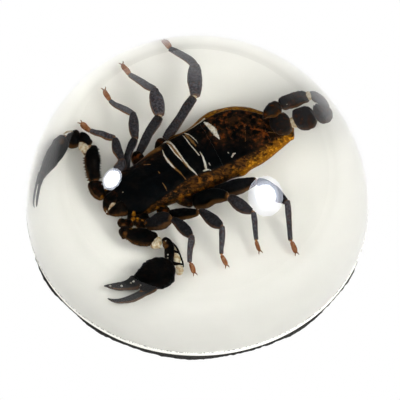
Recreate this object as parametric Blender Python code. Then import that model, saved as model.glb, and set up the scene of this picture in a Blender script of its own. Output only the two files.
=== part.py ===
"""Scorpion sealed in a clear resin half ball.

A paperweight, cast in layers: a thin black felt pad, a layer of white resin, and a half
ball of clear resin with a dried forest scorpion sealed low inside it. The clear resin is
parted in two at one level, so that the scorpion lies in a pocket between the halves.

Sizes are in millimetres and are turned into metres by MM. The origin is the centre of the
underside, +Z is up, and -Y is the side that the paperweight is seen from.
"""
import math

import bmesh
import bpy
import numpy as np
from mathutils import Matrix, Vector

MM = 0.001

# The half ball and the layers under it
BALL_RADIUS = 40.0
BALL_CENTRE_Z = 0.3
LAYER_GAP = 0.3             # kept between pieces that touch in the real object
FELT_THICKNESS = 1.1
FELT_RADIUS = 39.9
FELT_WAVE = 0.25            # the pad is cut by hand, so its edge wanders
WHITE_BOTTOM_Z = FELT_THICKNESS + LAYER_GAP
WHITE_THICKNESS = 1.6
WHITE_TOP_Z = WHITE_BOTTOM_Z + WHITE_THICKNESS
PARTING_HEIGHT = 1.9        # of the level that parts the clear resin, over the white layer
ROUND_STEPS = 56
ARC_STEPS = 10

# The pocket that the scorpion lies in
POCKET_CLEARANCE = 0.48     # added to each side of the scorpion's own outline
POCKET_END_ROOM = 0.7       # how far the pocket runs past the tip and root of a limb
POCKET_CROSSING = 0.5       # how far each pocket wall runs past the parting level
POCKET_BODY_SIDES = 8
POCKET_HIP_ROOM = 2.7       # the body's pocket is this much wider than the body, for the hips
POCKET_BODY_PLACES = (0.4, 4.0, 12.0, 22.0, 28.0, 33.2)

# The scorpion's body: head at the left and near, tail at the right and far.
# Heights of the scorpion, here and below, are over the top of the white layer.
HEAD_AT = (-14.8, -3.6)
BODY_TURN = math.radians(26.6)
BODY_SIDES = 14
TERGITE_STEP = 0.22         # each back plate stands this far over the next
TERGITE_ENDS = (13.0, 15.0, 17.4, 19.7, 22.2, 25.6, 28.8)
# distance from the head, centre's sideways offset, half width, top, bottom
BODY_OUTLINE = (
    (1.4, 0.3, 2.6, 4.0, 1.8),
    (2.4, 0.3, 3.5, 4.6, 1.4),
    (5.0, 0.3, 4.4, 5.1, 1.2),
    (9.0, 0.5, 4.9, 5.3, 1.1),
    (12.0, 0.8, 5.2, 5.2, 1.1),
    (16.0, 0.9, 5.5, 5.6, 1.1),
    (21.5, 1.4, 6.0, 5.9, 1.1),
    (24.4, 1.4, 5.7, 5.8, 1.2),
    (27.6, 1.1, 4.9, 5.4, 1.3),
    (30.0, 0.5, 3.5, 5.0, 1.7),
    (32.4, 0.0, 2.0, 4.6, 2.2),
)

# Limbs are rings of (x, y, height, width, thickness), from the root to the tip
CLAW_SIDES = 8
LIMBS = {
    "left_chelicera": (
        (-11.6, -0.6, 3.2, 2.2, 2.4),
        (-13.4, -1.5, 3.3, 2.4, 2.6),
        (-14.9, -2.4, 3.0, 2.0, 2.2),
        (-15.8, -3.2, 2.6, 0.8, 1.0),
    ),
    "right_chelicera": (
        (-10.4, -3.2, 3.2, 2.2, 2.4),
        (-12.4, -4.1, 3.3, 2.4, 2.6),
        (-14.2, -4.9, 3.0, 2.0, 2.2),
        (-15.2, -5.3, 2.6, 0.8, 1.0),
    ),
    "left_arm": (
        (-13.4, -1.0, 2.4, 1.8, 2.0),
        (-15.0, -0.7, 2.4, 2.4, 2.4),
        (-16.7, -0.3, 2.6, 2.8, 2.6),
        (-17.0, 1.0, 2.8, 1.8, 1.8),
        (-17.0, 2.4, 2.8, 2.1, 2.4),
        (-16.9, 4.4, 2.8, 2.5, 2.8),
        (-16.6, 6.6, 2.8, 2.1, 2.4),
        (-16.8, 8.0, 2.7, 1.3, 1.6),
        (-18.0, 9.0, 2.6, 2.1, 2.4),
        (-19.6, 9.5, 2.6, 3.0, 2.8),
        (-20.9, 10.0, 2.5, 1.7, 2.0),
        (-22.2, 9.9, 2.4, 1.4, 1.6),
    ),
    "left_hand": (
        (-21.2, 10.3, 2.4, 1.4, 2.0),
        (-22.0, 9.1, 2.4, 2.7, 2.8),
        (-23.6, 7.2, 2.4, 3.4, 3.0),
        (-25.1, 5.5, 2.4, 3.1, 3.0),
        (-26.8, 3.7, 2.2, 2.2, 2.6),
        (-28.2, 1.8, 2.0, 1.7, 1.8),
        (-29.3, -0.2, 1.9, 1.6, 1.3),
        (-30.4, -2.7, 1.6, 0.5, 0.5),
    ),
    "right_arm": (
        (-11.0, -5.2, 2.4, 1.8, 2.0),
        (-11.9, -6.2, 2.5, 2.4, 2.4),
        (-12.5, -7.4, 2.7, 2.6, 2.6),
        (-12.2, -8.6, 2.8, 1.9, 1.9),
        (-11.2, -9.4, 2.8, 2.6, 2.4),
        (-9.4, -9.8, 2.8, 3.3, 2.6),
        (-7.8, -9.8, 2.8, 2.5, 2.3),
        (-6.3, -10.0, 2.7, 1.3, 1.6),
        (-5.4, -11.0, 2.6, 1.8, 2.0),
        (-4.7, -12.6, 2.6, 2.3, 2.4),
        (-4.2, -14.3, 2.6, 2.5, 2.4),
        (-4.0, -15.6, 2.4, 1.9, 1.9),
        (-4.0, -16.6, 2.3, 1.6, 1.6),
    ),
    "right_hand": (
        (-3.6, -15.8, 2.3, 2.4, 1.8),
        (-4.9, -16.3, 2.3, 4.6, 2.4),
        (-6.7, -17.0, 2.2, 6.0, 2.6),
        (-8.1, -17.8, 2.2, 5.9, 2.6),
        (-9.7, -18.6, 2.1, 4.2, 2.4),
        (-11.2, -19.2, 2.0, 2.6, 2.1),
        (-12.9, -20.0, 1.9, 1.8, 1.7),
        (-15.0, -20.5, 1.7, 1.4, 1.2),
        (-17.3, -20.7, 1.5, 0.4, 0.4),
    ),
    "right_finger": (
        (-8.0, -19.4, 2.0, 2.2, 2.0),
        (-9.8, -21.1, 1.9, 2.2, 1.8),
        (-11.5, -22.4, 1.7, 1.7, 1.5),
        (-13.4, -23.6, 1.6, 1.5, 1.3),
        (-15.3, -24.1, 1.5, 1.0, 1.0),
        (-16.9, -23.6, 1.4, 0.4, 0.4),
    ),
    "tail": (
        (10.6, 9.5, 3.6, 3.0, 3.0),
        (12.3, 10.6, 4.3, 3.5, 3.3),
        (13.8, 11.1, 4.7, 3.6, 3.4),
        (15.0, 11.4, 4.7, 2.6, 2.6),
        (15.6, 11.6, 4.7, 2.9, 2.8),
        (16.6, 11.8, 4.8, 4.1, 3.4),
        (18.4, 12.1, 4.9, 4.0, 3.3),
        (19.2, 12.5, 4.9, 2.8, 2.8),
        (20.4, 13.0, 5.0, 3.5, 3.2),
        (21.5, 13.9, 5.1, 2.9, 2.8),
        (22.1, 14.9, 5.2, 1.4, 1.4),
    ),
    "tail_return": (
        (22.1, 13.9, 5.2, 1.6, 1.6),
        (21.5, 15.2, 5.3, 2.6, 2.5),
        (20.0, 15.9, 5.6, 2.9, 2.7),
        (18.4, 15.7, 5.7, 1.9, 2.0),
        (17.4, 15.4, 5.7, 2.2, 2.3),
        (15.6, 14.7, 5.8, 2.1, 2.2),
        (14.0, 14.1, 5.9, 1.9, 2.0),
        (13.3, 13.7, 6.0, 1.3, 1.5),
        (12.3, 13.1, 6.2, 2.4, 2.4),
        (11.4, 12.2, 6.4, 1.9, 1.9),
        (10.8, 11.3, 6.7, 0.8, 0.8),
        (10.5, 10.5, 7.1, 0.3, 0.3),
    ),
}

# Legs are the places of hip, leg root, knee, shin joint, ankle and foot tip, each as
# (x, y, height), and then the full widths of femur, patella and tibia
LEG_SIDES = 6
LEGS = {
    "left_leg_1": ((-12.2, 0.8, 2.2), (-13.3, 2.9, 2.7), (-12.4, 4.3, 4.6),
                   (-13.0, 8.5, 4.1), (-16.6, 10.8, 1.7), (-17.9, 12.6, 1.3), (1.9, 1.6, 1.1)),
    "left_leg_2": ((-10.8, 2.4, 2.2), (-11.7, 4.2, 2.7), (-9.9, 8.0, 5.0),
                   (-10.0, 12.7, 4.1), (-13.0, 15.8, 1.7), (-13.7, 17.8, 1.3), (1.4, 1.7, 1.0)),
    "left_leg_3": ((-8.6, 3.0, 2.2), (-9.5, 5.9, 2.7), (-5.9, 11.8, 5.0),
                   (-6.5, 16.6, 4.1), (-10.0, 19.8, 1.7), (-10.9, 21.7, 1.3), (1.5, 2.1, 1.1)),
    "left_leg_4": ((-5.4, 4.6, 2.2), (-5.7, 7.9, 2.7), (-0.5, 15.3, 5.0),
                   (-0.5, 20.9, 4.1), (-4.0, 23.8, 1.7), (-4.8, 25.5, 1.3), (1.5, 2.4, 1.1)),
    "right_leg_1": ((-9.4, -5.0, 2.2), (-8.0, -7.4, 2.7), (-4.0, -7.5, 5.0),
                    (-1.0, -10.4, 4.1), (-1.5, -14.5, 1.7), (-0.7, -16.1, 1.3), (2.4, 1.8, 1.1)),
    "right_leg_2": ((-6.4, -3.4, 2.2), (-4.2, -5.4, 2.7), (0.5, -6.0, 5.0),
                    (4.3, -8.5, 4.1), (3.9, -12.7, 1.7), (5.0, -14.4, 1.3), (2.2, 1.8, 1.1)),
    "right_leg_3": ((-3.4, -1.4, 2.2), (-0.6, -2.8, 2.7), (5.3, -3.1, 5.0),
                    (9.1, -5.2, 4.1), (9.8, -9.7, 1.7), (10.5, -11.5, 1.3), (2.4, 1.7, 1.1)),
    "right_leg_4": ((0.0, 0.6, 2.2), (3.0, -0.7, 2.7), (10.0, 0.1, 5.0),
                    (14.9, -2.7, 4.1), (15.9, -9.9, 1.7), (17.3, -12.1, 1.3), (2.2, 1.8, 1.1)),
}
# Where a leg part swells: how far along it, and the share of its full width there
FEMUR_SWELL = ((0.12, 0.85), (0.45, 1.0), (0.88, 0.85))
PATELLA_SWELL = ((0.14, 0.75), (0.5, 1.0), (0.86, 0.8))
TIBIA_SWELL = ((0.1, 0.9), (0.5, 1.0), (0.9, 0.85))
LEG_FLATNESS = 0.9          # a leg's thickness as a share of its width
ROOT_WAIST = 0.8            # of the femur's full width, where it leaves the hip
KNEE_WIDTH = 0.85
HIP_WIDTH = 2.0
ANKLE_WIDTH = 0.7
FOOT_WIDTH = 0.75
FOOT_SWELL_AT = 0.3
FOOT_TIP_WIDTH = 0.35

WHITE_RESIN = (0.87, 0.86, 0.80, 1.0)
CLEAR_RESIN = (0.96, 0.97, 0.95, 1.0)
BLACK_FELT = (0.02, 0.02, 0.02, 1.0)
SCORPION_SHELL = (0.035, 0.024, 0.018, 1.0)


def clear_file():
    """Remove whatever the file starts with."""
    for obj in list(bpy.data.objects):
        bpy.data.objects.remove(obj, do_unlink=True)


def material(name, color, roughness, transmission=0.0):
    """A plain Principled finish."""
    finish = bpy.data.materials.new(name)
    finish.use_nodes = True
    shader = finish.node_tree.nodes["Principled BSDF"]
    shader.inputs["Base Color"].default_value = color
    shader.inputs["Roughness"].default_value = roughness
    shader.inputs["Metallic"].default_value = 0.0
    shader.inputs["Transmission Weight"].default_value = transmission
    return finish


def add_object(name, bm, finish=None, collection=None):
    """Scale a mesh worked out in millimetres to metres, and put it in the scene."""
    bmesh.ops.recalc_face_normals(bm, faces=bm.faces)
    bmesh.ops.scale(bm, vec=(MM, MM, MM), verts=bm.verts)
    mesh = bpy.data.meshes.new(name)
    bm.to_mesh(mesh)
    bm.free()
    obj = bpy.data.objects.new(name, mesh)
    (collection or bpy.context.scene.collection).objects.link(obj)
    if finish:
        mesh.materials.append(finish)
    return obj


def guide_collection(name):
    """A collection for solids that only shape another solid."""
    collection = bpy.data.collections.new(name)
    bpy.context.scene.collection.children.link(collection)
    return collection


def add_guide(name, bm, collection):
    """Add a solid that only shapes another solid and is no part of the finished object."""
    obj = add_object(name, bm, collection=collection)
    obj.hide_render = True
    obj.display_type = "WIRE"


def combine(obj, operation, collection):
    """Join or cut obj with every solid in a collection."""
    modifier = obj.modifiers.new(operation.lower(), "BOOLEAN")
    modifier.operation = operation
    modifier.operand_type = "COLLECTION"
    modifier.collection = collection
    modifier.solver = "EXACT"


def turned(profile):
    """A solid turned about the Z axis from a profile of (radius, level), axis to axis."""
    bm = bmesh.new()
    verts = [bm.verts.new((radius, 0.0, level)) for radius, level in profile]
    edges = [bm.edges.new(pair) for pair in zip(verts, verts[1:])]
    bmesh.ops.spin(bm, geom=verts + edges, cent=(0, 0, 0), axis=(0, 0, 1),
                   angle=math.tau, steps=ROUND_STEPS, use_merge=True)
    bmesh.ops.remove_doubles(bm, verts=bm.verts, dist=0.001)
    return bm


def ball_arc(low, high, steps):
    """Points (radius, level) of the ball's outside between two levels, evenly spaced."""
    first = math.asin((low - BALL_CENTRE_Z) / BALL_RADIUS)
    last = math.asin((high - BALL_CENTRE_Z) / BALL_RADIUS)
    angles = [first + (last - first) * step / steps for step in range(steps + 1)]
    return [(BALL_RADIUS * math.cos(angle), BALL_CENTRE_Z + BALL_RADIUS * math.sin(angle))
            for angle in angles]


def close_rings(bm, rings):
    """Bridge each ring to the next and cap both ends."""
    for ring, following in zip(rings, rings[1:]):
        edges = [edge for edge in bm.edges
                 if all(vert in ring for vert in edge.verts)
                 or all(vert in following for vert in edge.verts)]
        bmesh.ops.bridge_loops(bm, edges=edges)
    for ring in (rings[0], rings[-1]):
        bm.faces.new(ring)


def oval_ring(bm, centre, across, upright, along, sides, corner_turn=0.0):
    """One ring about a centre, reaching across and upright by those vectors.

    A corner_turn of half a side lays the ring's flat sides square to both vectors.
    """
    frame = Matrix((across, upright, along)).transposed().to_4x4()
    frame.translation = centre
    frame @= Matrix.Rotation(corner_turn, 4, "Z")
    reach = 1.0 / math.cos(corner_turn)
    return bmesh.ops.create_circle(bm, segments=sides, radius=reach, matrix=frame)["verts"]


def loft(stations, sides, corner_turn=0.0):
    """A closed solid through one ring at each station (x, y, height, width, thickness).

    Each ring stands square to the path. Its width lies level and its thickness upright.
    """
    centres = [Vector((x, y, WHITE_TOP_Z + height)) for x, y, height, *_ in stations]
    bm = bmesh.new()
    rings = []
    for index, (*_, width, thickness) in enumerate(stations):
        ahead = centres[min(index + 1, len(centres) - 1)] - centres[index]
        behind = centres[index] - centres[max(index - 1, 0)]
        along = (ahead.normalized() + behind.normalized()).normalized()
        across = along.cross(Vector((0, 0, 1))).normalized()
        upright = across.cross(along)
        rings.append(oval_ring(bm, centres[index], across * width / 2, upright * thickness / 2,
                               along, sides, corner_turn))
    close_rings(bm, rings)
    return bm


def leg_stations(joints, widths):
    """A leg's rings: a swelling along each long part and a narrow ring at each joint."""
    hip, root, knee, shin, ankle, tip = [Vector(joint) for joint in joints]
    femur, patella, tibia = widths
    parts = (
        (root, knee, femur, femur * ROOT_WAIST, FEMUR_SWELL),
        (knee, shin, patella, KNEE_WIDTH, PATELLA_SWELL),
        (shin, ankle, tibia, KNEE_WIDTH, TIBIA_SWELL),
    )
    stations = [(*hip, HIP_WIDTH, HIP_WIDTH)]
    for start, end, width, waist, swell in parts:
        stations.append((*start, waist, waist))
        for share, swelling in swell:
            swollen = width * swelling
            stations.append((*start.lerp(end, share), swollen, swollen * LEG_FLATNESS))
    stations.append((*ankle, ANKLE_WIDTH, ANKLE_WIDTH))
    stations.append((*ankle.lerp(tip, FOOT_SWELL_AT), FOOT_WIDTH, FOOT_WIDTH))
    stations.append((*tip, FOOT_TIP_WIDTH, FOOT_TIP_WIDTH))
    return stations


def body_size(distance):
    """The body's sideways offset, half width, top and bottom, a distance back from the head."""
    places, *sizes = np.transpose(BODY_OUTLINE)
    return [np.interp(distance, places, size) for size in sizes]


def body_ring(bm, distance, half_width, top, bottom, sides, corner_turn=0.0):
    """One ring across the body, a given distance back from the head."""
    along = Vector((math.cos(BODY_TURN), math.sin(BODY_TURN), 0))
    across = Vector((-math.sin(BODY_TURN), math.cos(BODY_TURN), 0))
    offset = body_size(distance)[0]
    centre = Vector((*HEAD_AT, WHITE_TOP_Z + (top + bottom) / 2))
    centre += along * distance + across * offset
    upright = Vector((0, 0, (top - bottom) / 2))
    return oval_ring(bm, centre, across * half_width, upright, along, sides, corner_turn)


def body():
    """The body: head shield and back plates, each plate a small step over the next."""
    places = [(distance, 0.0) for distance, *_ in BODY_OUTLINE[:5]]
    for end in TERGITE_ENDS:
        places += [(end - 0.2, 0.0), (end + 0.1, TERGITE_STEP)]
    places += [(distance, 0.0) for distance, *_ in BODY_OUTLINE[-2:]]
    bm = bmesh.new()
    rings = []
    for distance, step in places:
        _, half_width, top, bottom = body_size(distance)
        rings.append(body_ring(bm, distance, half_width - step, top - step, bottom, BODY_SIDES))
    close_rings(bm, rings)
    return bm


def body_pocket():
    """The pocket's room for the body and the roots of the legs, with upright walls."""
    half_side = math.tau / POCKET_BODY_SIDES / 2
    bm = bmesh.new()
    rings = []
    for distance in POCKET_BODY_PLACES:
        _, half_width, top, bottom = body_size(distance)
        rings.append(body_ring(bm, distance, half_width + POCKET_HIP_ROOM,
                               top + POCKET_CLEARANCE, bottom - POCKET_CLEARANCE,
                               POCKET_BODY_SIDES, half_side))
    close_rings(bm, rings)
    return bm


def past_end(station, neighbour):
    """A limb's end ring, moved out past the limb's end."""
    end = Vector(station[:3])
    outward = (end - Vector(neighbour[:3])).normalized()
    return (*(end + outward * POCKET_END_ROOM), *station[3:])


def limb_pocket(stations):
    """A limb's rings as boxes, grown by the clearance and made to cross the parting level."""
    stations = [past_end(stations[0], stations[1]), *stations[1:-1],
                past_end(stations[-1], stations[-2])]
    grown = []
    for x, y, height, width, thickness in stations:
        reach = thickness / 2 + POCKET_CLEARANCE
        top = max(height + reach, PARTING_HEIGHT + POCKET_CROSSING)
        bottom = min(height - reach, PARTING_HEIGHT - POCKET_CROSSING)
        grown.append((x, y, (top + bottom) / 2, width + 2 * POCKET_CLEARANCE, top - bottom))
    return loft(grown, 4, corner_turn=math.tau / 8)


def leg_pocket(joints, widths):
    """A leg's pocket: one box at each joint, as wide as the thicker part beside it."""
    femur, patella, tibia = widths
    across = (HIP_WIDTH, femur, max(femur, patella), patella, tibia, FOOT_WIDTH)
    return limb_pocket([(*joint, width, width) for joint, width in zip(joints, across)])


def make_scorpion(finish):
    """One solid: the body with every limb joined to it."""
    limbs = guide_collection("scorpion_limbs")
    for name, stations in LIMBS.items():
        add_guide(name, loft(stations, CLAW_SIDES), limbs)
    for name, (*joints, widths) in LEGS.items():
        add_guide(name, loft(leg_stations(joints, widths), LEG_SIDES), limbs)
    combine(add_object("scorpion", body(), finish), "UNION", limbs)


def make_pocket():
    """The solids that the clear halves are cut with."""
    pocket = guide_collection("pocket_forms")
    add_guide("body_pocket", body_pocket(), pocket)
    for name, stations in LIMBS.items():
        add_guide(name + "_pocket", limb_pocket(stations), pocket)
    for name, (*joints, widths) in LEGS.items():
        add_guide(name + "_pocket", leg_pocket(joints, widths), pocket)
    return pocket


def make_dome(finish, pocket):
    """The clear half ball, in two pieces that meet at the parting level."""
    low = WHITE_TOP_Z + LAYER_GAP
    seam_low = WHITE_TOP_Z + PARTING_HEIGHT - LAYER_GAP / 2
    seam_high = seam_low + LAYER_GAP
    crown = BALL_CENTRE_Z + BALL_RADIUS
    lower = [(0.0, low), *ball_arc(low, seam_low, 1), (0.0, seam_low)]
    upper = [(0.0, seam_high), *ball_arc(seam_high, crown, ARC_STEPS)]
    for name, profile in (("dome_lower", lower), ("dome_upper", upper)):
        combine(add_object(name, turned(profile), finish), "DIFFERENCE", pocket)


def make_white_backing(finish):
    """The layer of white resin that closes the half ball below."""
    side = ball_arc(WHITE_BOTTOM_Z, WHITE_TOP_Z, 2)
    profile = [(0.0, WHITE_BOTTOM_Z), *side, (0.0, WHITE_TOP_Z)]
    add_object("white_backing", turned(profile), finish)


def make_felt_pad(finish):
    """The felt pad under the white layer, with an edge that wanders a little."""
    bm = bmesh.new()
    circle = bmesh.ops.create_circle(bm, cap_ends=True, segments=ROUND_STEPS, radius=1.0)
    for vert in circle["verts"]:
        turn = math.atan2(vert.co.y, vert.co.x)
        radius = FELT_RADIUS + FELT_WAVE * (math.sin(3 * turn) + math.cos(7 * turn)) / 2
        vert.co = Vector((radius * math.cos(turn), radius * math.sin(turn), 0.0))
    extruded = bmesh.ops.extrude_face_region(bm, geom=bm.faces[:])["geom"]
    lifted = [item for item in extruded if isinstance(item, bmesh.types.BMVert)]
    bmesh.ops.translate(bm, verts=lifted, vec=(0, 0, FELT_THICKNESS))
    add_object("felt_pad", bm, finish)


def main():
    clear_file()
    make_felt_pad(material("black_felt", BLACK_FELT, 0.95))
    make_white_backing(material("white_resin", WHITE_RESIN, 0.35))
    make_dome(material("clear_resin", CLEAR_RESIN, 0.03, transmission=1.0), make_pocket())
    make_scorpion(material("scorpion_shell", SCORPION_SHELL, 0.35))


main()
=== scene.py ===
"""Looks of a paperweight: a dried forest scorpion sealed in a clear resin half ball.

Sizes are in millimetres unless a name or a comment says otherwise, and MM turns them into
metres. A height of the scorpion is measured over the top of the white layer. The origin is the
centre of the underside, +Z is up, and the camera looks down at the paperweight from the side
of -Y.
"""

import math

import bpy
import numpy as np
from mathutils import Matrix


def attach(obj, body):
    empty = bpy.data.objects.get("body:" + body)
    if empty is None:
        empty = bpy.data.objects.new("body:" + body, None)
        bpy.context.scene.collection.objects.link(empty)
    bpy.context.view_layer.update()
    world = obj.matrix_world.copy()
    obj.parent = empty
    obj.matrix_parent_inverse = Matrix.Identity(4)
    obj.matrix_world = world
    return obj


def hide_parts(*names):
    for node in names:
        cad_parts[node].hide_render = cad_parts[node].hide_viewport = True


bl_info = {
    "name": "Scorpion Paperweight",
    "version": (1, 0, 0),
    "blender": (4, 5, 0),
    "location": "3D View > Sidebar > Paperweight",
    "description": "Builds the looks of a scorpion sealed in a clear resin half ball",
    "category": "Add Mesh",
}

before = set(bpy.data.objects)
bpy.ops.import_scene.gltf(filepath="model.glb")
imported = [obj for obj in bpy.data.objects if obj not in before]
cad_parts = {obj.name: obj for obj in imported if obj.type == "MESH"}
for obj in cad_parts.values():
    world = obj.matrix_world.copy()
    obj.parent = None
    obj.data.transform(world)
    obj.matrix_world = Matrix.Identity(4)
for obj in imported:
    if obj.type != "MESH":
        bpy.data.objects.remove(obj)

MM = 0.001
TAU = math.tau

# The half ball and the layers under it, as in part.py
BALL_RADIUS = 40.0
BALL_CENTRE_Z = 0.3
FELT_RADIUS = 39.9
FELT_THICKNESS = 1.1
WHITE_TOP_Z = 3.0
# Here the layers meet without the solids' gaps: the felt reaches up to the white layer, and the
# half ball, a little smaller than the solid, reaches down into it
WHITE_BOTTOM_Z = FELT_THICKNESS + 0.3
DOME_BOTTOM_Z = 2.6
BALL_SHRINK = 0.01
# The half ball's rings, the points around it, and the points around the layers under it
DOME_RINGS, DOME_STEPS = 97, 320
WHITE_STEPS, FELT_STEPS = 512, 720
# The dirt on the white layer's top edge starts and is full at these heights over the underside
# and at these distances from the axis
DIRT_HEIGHTS = (2.62, 2.85)
DIRT_REACHES = (39.78, 39.9)
# The felt's edge: its fluff as a share of its radius, where it swells, as (degrees, share of
# its radius), and the half width of a swell in radians
FELT_FLUFF = 0.0009
FELT_SWELLS = ((212.0, 0.011), (236.0, 0.008), (268.0, 0.009), (305.0, 0.009), (331.0, 0.008))
FELT_SWELL_WIDTH = 0.13

# Colours of the finishes, beside those in the settings
FELT_FIBRE = (0.045, 0.043, 0.04)
RIM_DIRT = (0.07, 0.065, 0.06)
SHELL_BROWN = (0.0038, 0.0028, 0.0022)
LEG_BROWN = (0.085, 0.032, 0.018)
# The grey of the painted reflection that the ball's surface lays over far parts
REFLECTION_GREY = (0.20, 0.20, 0.215)
RUST = (0.019, 0.0085, 0.003)
EMBER = (0.15, 0.034, 0.003)
SKIN_DARK = (0.004, 0.0024, 0.0012)
SKIN_ORANGE = (0.2, 0.07, 0.006)
GOLD_DARK, GOLD_BRIGHT = (0.17, 0.06, 0.003), (0.58, 0.26, 0.015)
FOOT_PALE = (0.42, 0.21, 0.11)
TAN = (0.17, 0.085, 0.024)
FILM_BUFF = (0.33, 0.27, 0.17)
CREAM, CREAM_SHADE = (0.62, 0.56, 0.42), (0.40, 0.28, 0.14)
ORANGE, ORANGE_SHADE = (0.45, 0.19, 0.04), (0.14, 0.05, 0.02)

# What is painted on the points of the scorpion's shell: its own colours, and a painted reflection
# and painted glints
MARKS = ("leg", "veil", "rust", "amber", "skin", "gold", "foot", "tan", "film")

# A ripple's number of waves, and about how many radians they turn over its size
RIPPLE_WAVES = 9
RIPPLE_TURN = 2.2
# The ripples on the body as (size, seed, height), and the size of a limb's
BODY_RIPPLES = ((0.8, 3, 0.03), (0.35, 5, 0.02))
LIMB_RIPPLE = 0.45
# A limb part's rings are spaced evenly and crowded towards its ends in these shares, and its
# keels and roughness rise from its ends this much faster than a half wave over its length
EVEN_SHARE, CROWDED_SHARE = 0.55, 0.45
KEEL_RISE = 2.5
# The share of a patch's size within which it is painted in full
PATCH_CORE = 0.3
# The least width of a ring, and the squares of the least shares that closed ends shrink to
LEAST_WIDTH = 0.04
LEAST_RING = 0.002
LEAST_BODY_RING = 0.003

# The scorpion's body frame: head at the left and near, tail at the right and far
HEAD_AT = np.array((-14.8, -3.6))
BODY_TURN = math.radians(26.6)
ALONG = np.array((math.cos(BODY_TURN), math.sin(BODY_TURN)))
ACROSS = np.array((-math.sin(BODY_TURN), math.cos(BODY_TURN)))
# Where the body starts and ends, how far its ends round off, and how square its rings are
BODY_SPAN = (1.2, 33.2)
FRONT_ROUNDING, REAR_ROUNDING = 1.3, 0.9
BODY_SQUARE = 2.35
BODY_RINGS, BODY_STEPS = 330, 150
# The head shield: where its hind edge rises, how far sideways its middle lies, the groove along
# the middle, and the knob of the eyes in it
SHIELD_END = (12.4, 13.0)
SHIELD_MIDDLE = 0.4
GROOVE_DEPTH, GROOVE_HALF_WIDTH = 0.16, 0.35
EYES_AT, EYES_HEIGHT, EYES_HALF_LENGTH, EYES_HALF_WIDTH = 5.4, 0.22, 0.5, 0.4
# Body outline, each line as (distance from the head, value)
FAR_EDGE = ((1.2, 1.2), (1.7, 2.6), (3.0, 3.8), (5.5, 4.4), (7.0, 4.4), (9.1, 4.9), (10.8, 5.4),
            (13.0, 5.8), (15.0, 6.3), (17.1, 6.2), (18.5, 6.4), (20.6, 7.1), (22.5, 7.4),
            (24.3, 7.1), (25.6, 6.8), (27.0, 6.2), (28.3, 5.4), (29.6, 4.2), (31.0, 3.0),
            (32.6, 1.4), (33.2, 0.4))
NEAR_EDGE = ((1.2, -1.4), (1.7, -2.6), (3.0, -3.6), (5.0, -4.3), (7.7, -4.3), (11.2, -4.5),
             (14.7, -4.7), (18.6, -4.7), (20.6, -4.6), (22.7, -4.9), (23.8, -4.5), (26.0, -4.2),
             (27.6, -3.8), (29.6, -3.1), (31.7, -2.4), (32.8, -1.9), (33.2, -1.0))
BACK_TOP = ((1.2, 3.6), (2.4, 4.5), (5.0, 5.1), (9.0, 5.3), (12.0, 5.3), (16.0, 5.6),
            (21.5, 5.9), (24.4, 5.8), (27.6, 5.3), (30.0, 4.6), (32.0, 3.9), (33.2, 3.2))
BELLY = ((1.2, 2.2), (2.4, 1.4), (5.0, 1.2), (21.5, 1.1), (27.6, 1.3), (30.0, 1.7), (33.2, 2.6))
# Where the black plates end and the brown skin at the sides starts, in the same way
FAR_PLATE = ((1.2, 1.4), (3.0, 4.4), (9.0, 5.6), (13.0, 5.4), (14.7, 5.4), (18.0, 5.5),
             (21.0, 5.9), (23.9, 6.0), (26.5, 5.1), (29.2, 3.2), (33.2, 0.6))
NEAR_PLATE = ((1.2, -1.4), (3.0, -3.6), (7.0, -3.8), (9.6, -3.4), (13.0, -2.7), (15.0, -2.6),
              (17.4, -3.0), (20.0, -3.1), (23.0, -3.0), (26.0, -2.7), (28.0, -2.1), (33.2, -1.2))
# Where each plate ends, how far it rises to its end, and how far all plates stand proud
PLATE_ENDS = (13.0, 15.0, 17.4, 19.7, 22.2, 25.6, 28.8, 32.2)
PLATE_RISE = 0.2
PLATE_LIP = 0.16

# Pale films in the folds between the plates: (distance, sideways, width) along each
FILMS = (
    ((12.4, 4.2, 0.1), (12.1, 3.0, 0.24), (12.1, 1.8, 0.34), (12.3, 0.6, 0.26), (12.5, 0.0, 0.14)),
    ((13.4, 6.0, 0.3), (14.0, 5.4, 0.45), (14.2, 4.4, 0.28), (14.3, 2.4, 0.2),
     (14.4, 0.8, 0.26), (14.6, -1.0, 0.32), (15.0, -2.1, 0.3), (15.2, -2.6, 0.12)),
    ((13.7, 4.8, 0.12), (13.7, 3.4, 0.2), (13.8, 2.1, 0.2), (14.2, 0.4, 0.12)),
    ((16.5, 5.1, 0.12), (16.6, 2.8, 0.17), (16.9, 0.9, 0.18), (17.0, 0.2, 0.12)),
    ((16.9, 5.3, 0.2), (17.5, 4.2, 0.16), (17.8, 3.0, 0.12), (17.8, 2.1, 0.07)),
    ((17.4, 0.7, 0.14), (17.4, -0.4, 0.28), (17.2, -1.4, 0.42), (17.0, -2.3, 0.32)),
    ((16.4, -2.5, 0.15), (17.0, -2.6, 0.35), (17.6, -2.9, 0.15)),
    ((17.8, -1.6, 0.12), (17.85, -1.9, 0.16), (17.8, -2.2, 0.1)),
    ((20.5, 5.4, 0.3), (20.8, 4.7, 0.75), (21.0, 3.6, 0.95), (21.1, 2.6, 0.8),
     (21.2, 1.7, 0.35), (21.2, 1.2, 0.12)),
    ((23.4, -1.7, 0.08), (22.6, -1.9, 0.18), (22.0, -2.1, 0.34), (21.6, -2.4, 0.2)),
    ((21.4, -1.4, 0.12), (21.5, -1.6, 0.14)),
    ((17.2, 5.9, 0.12), (18.6, 5.75, 0.12), (20.2, 5.95, 0.25), (20.9, 6.2, 0.3)),
)
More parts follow.
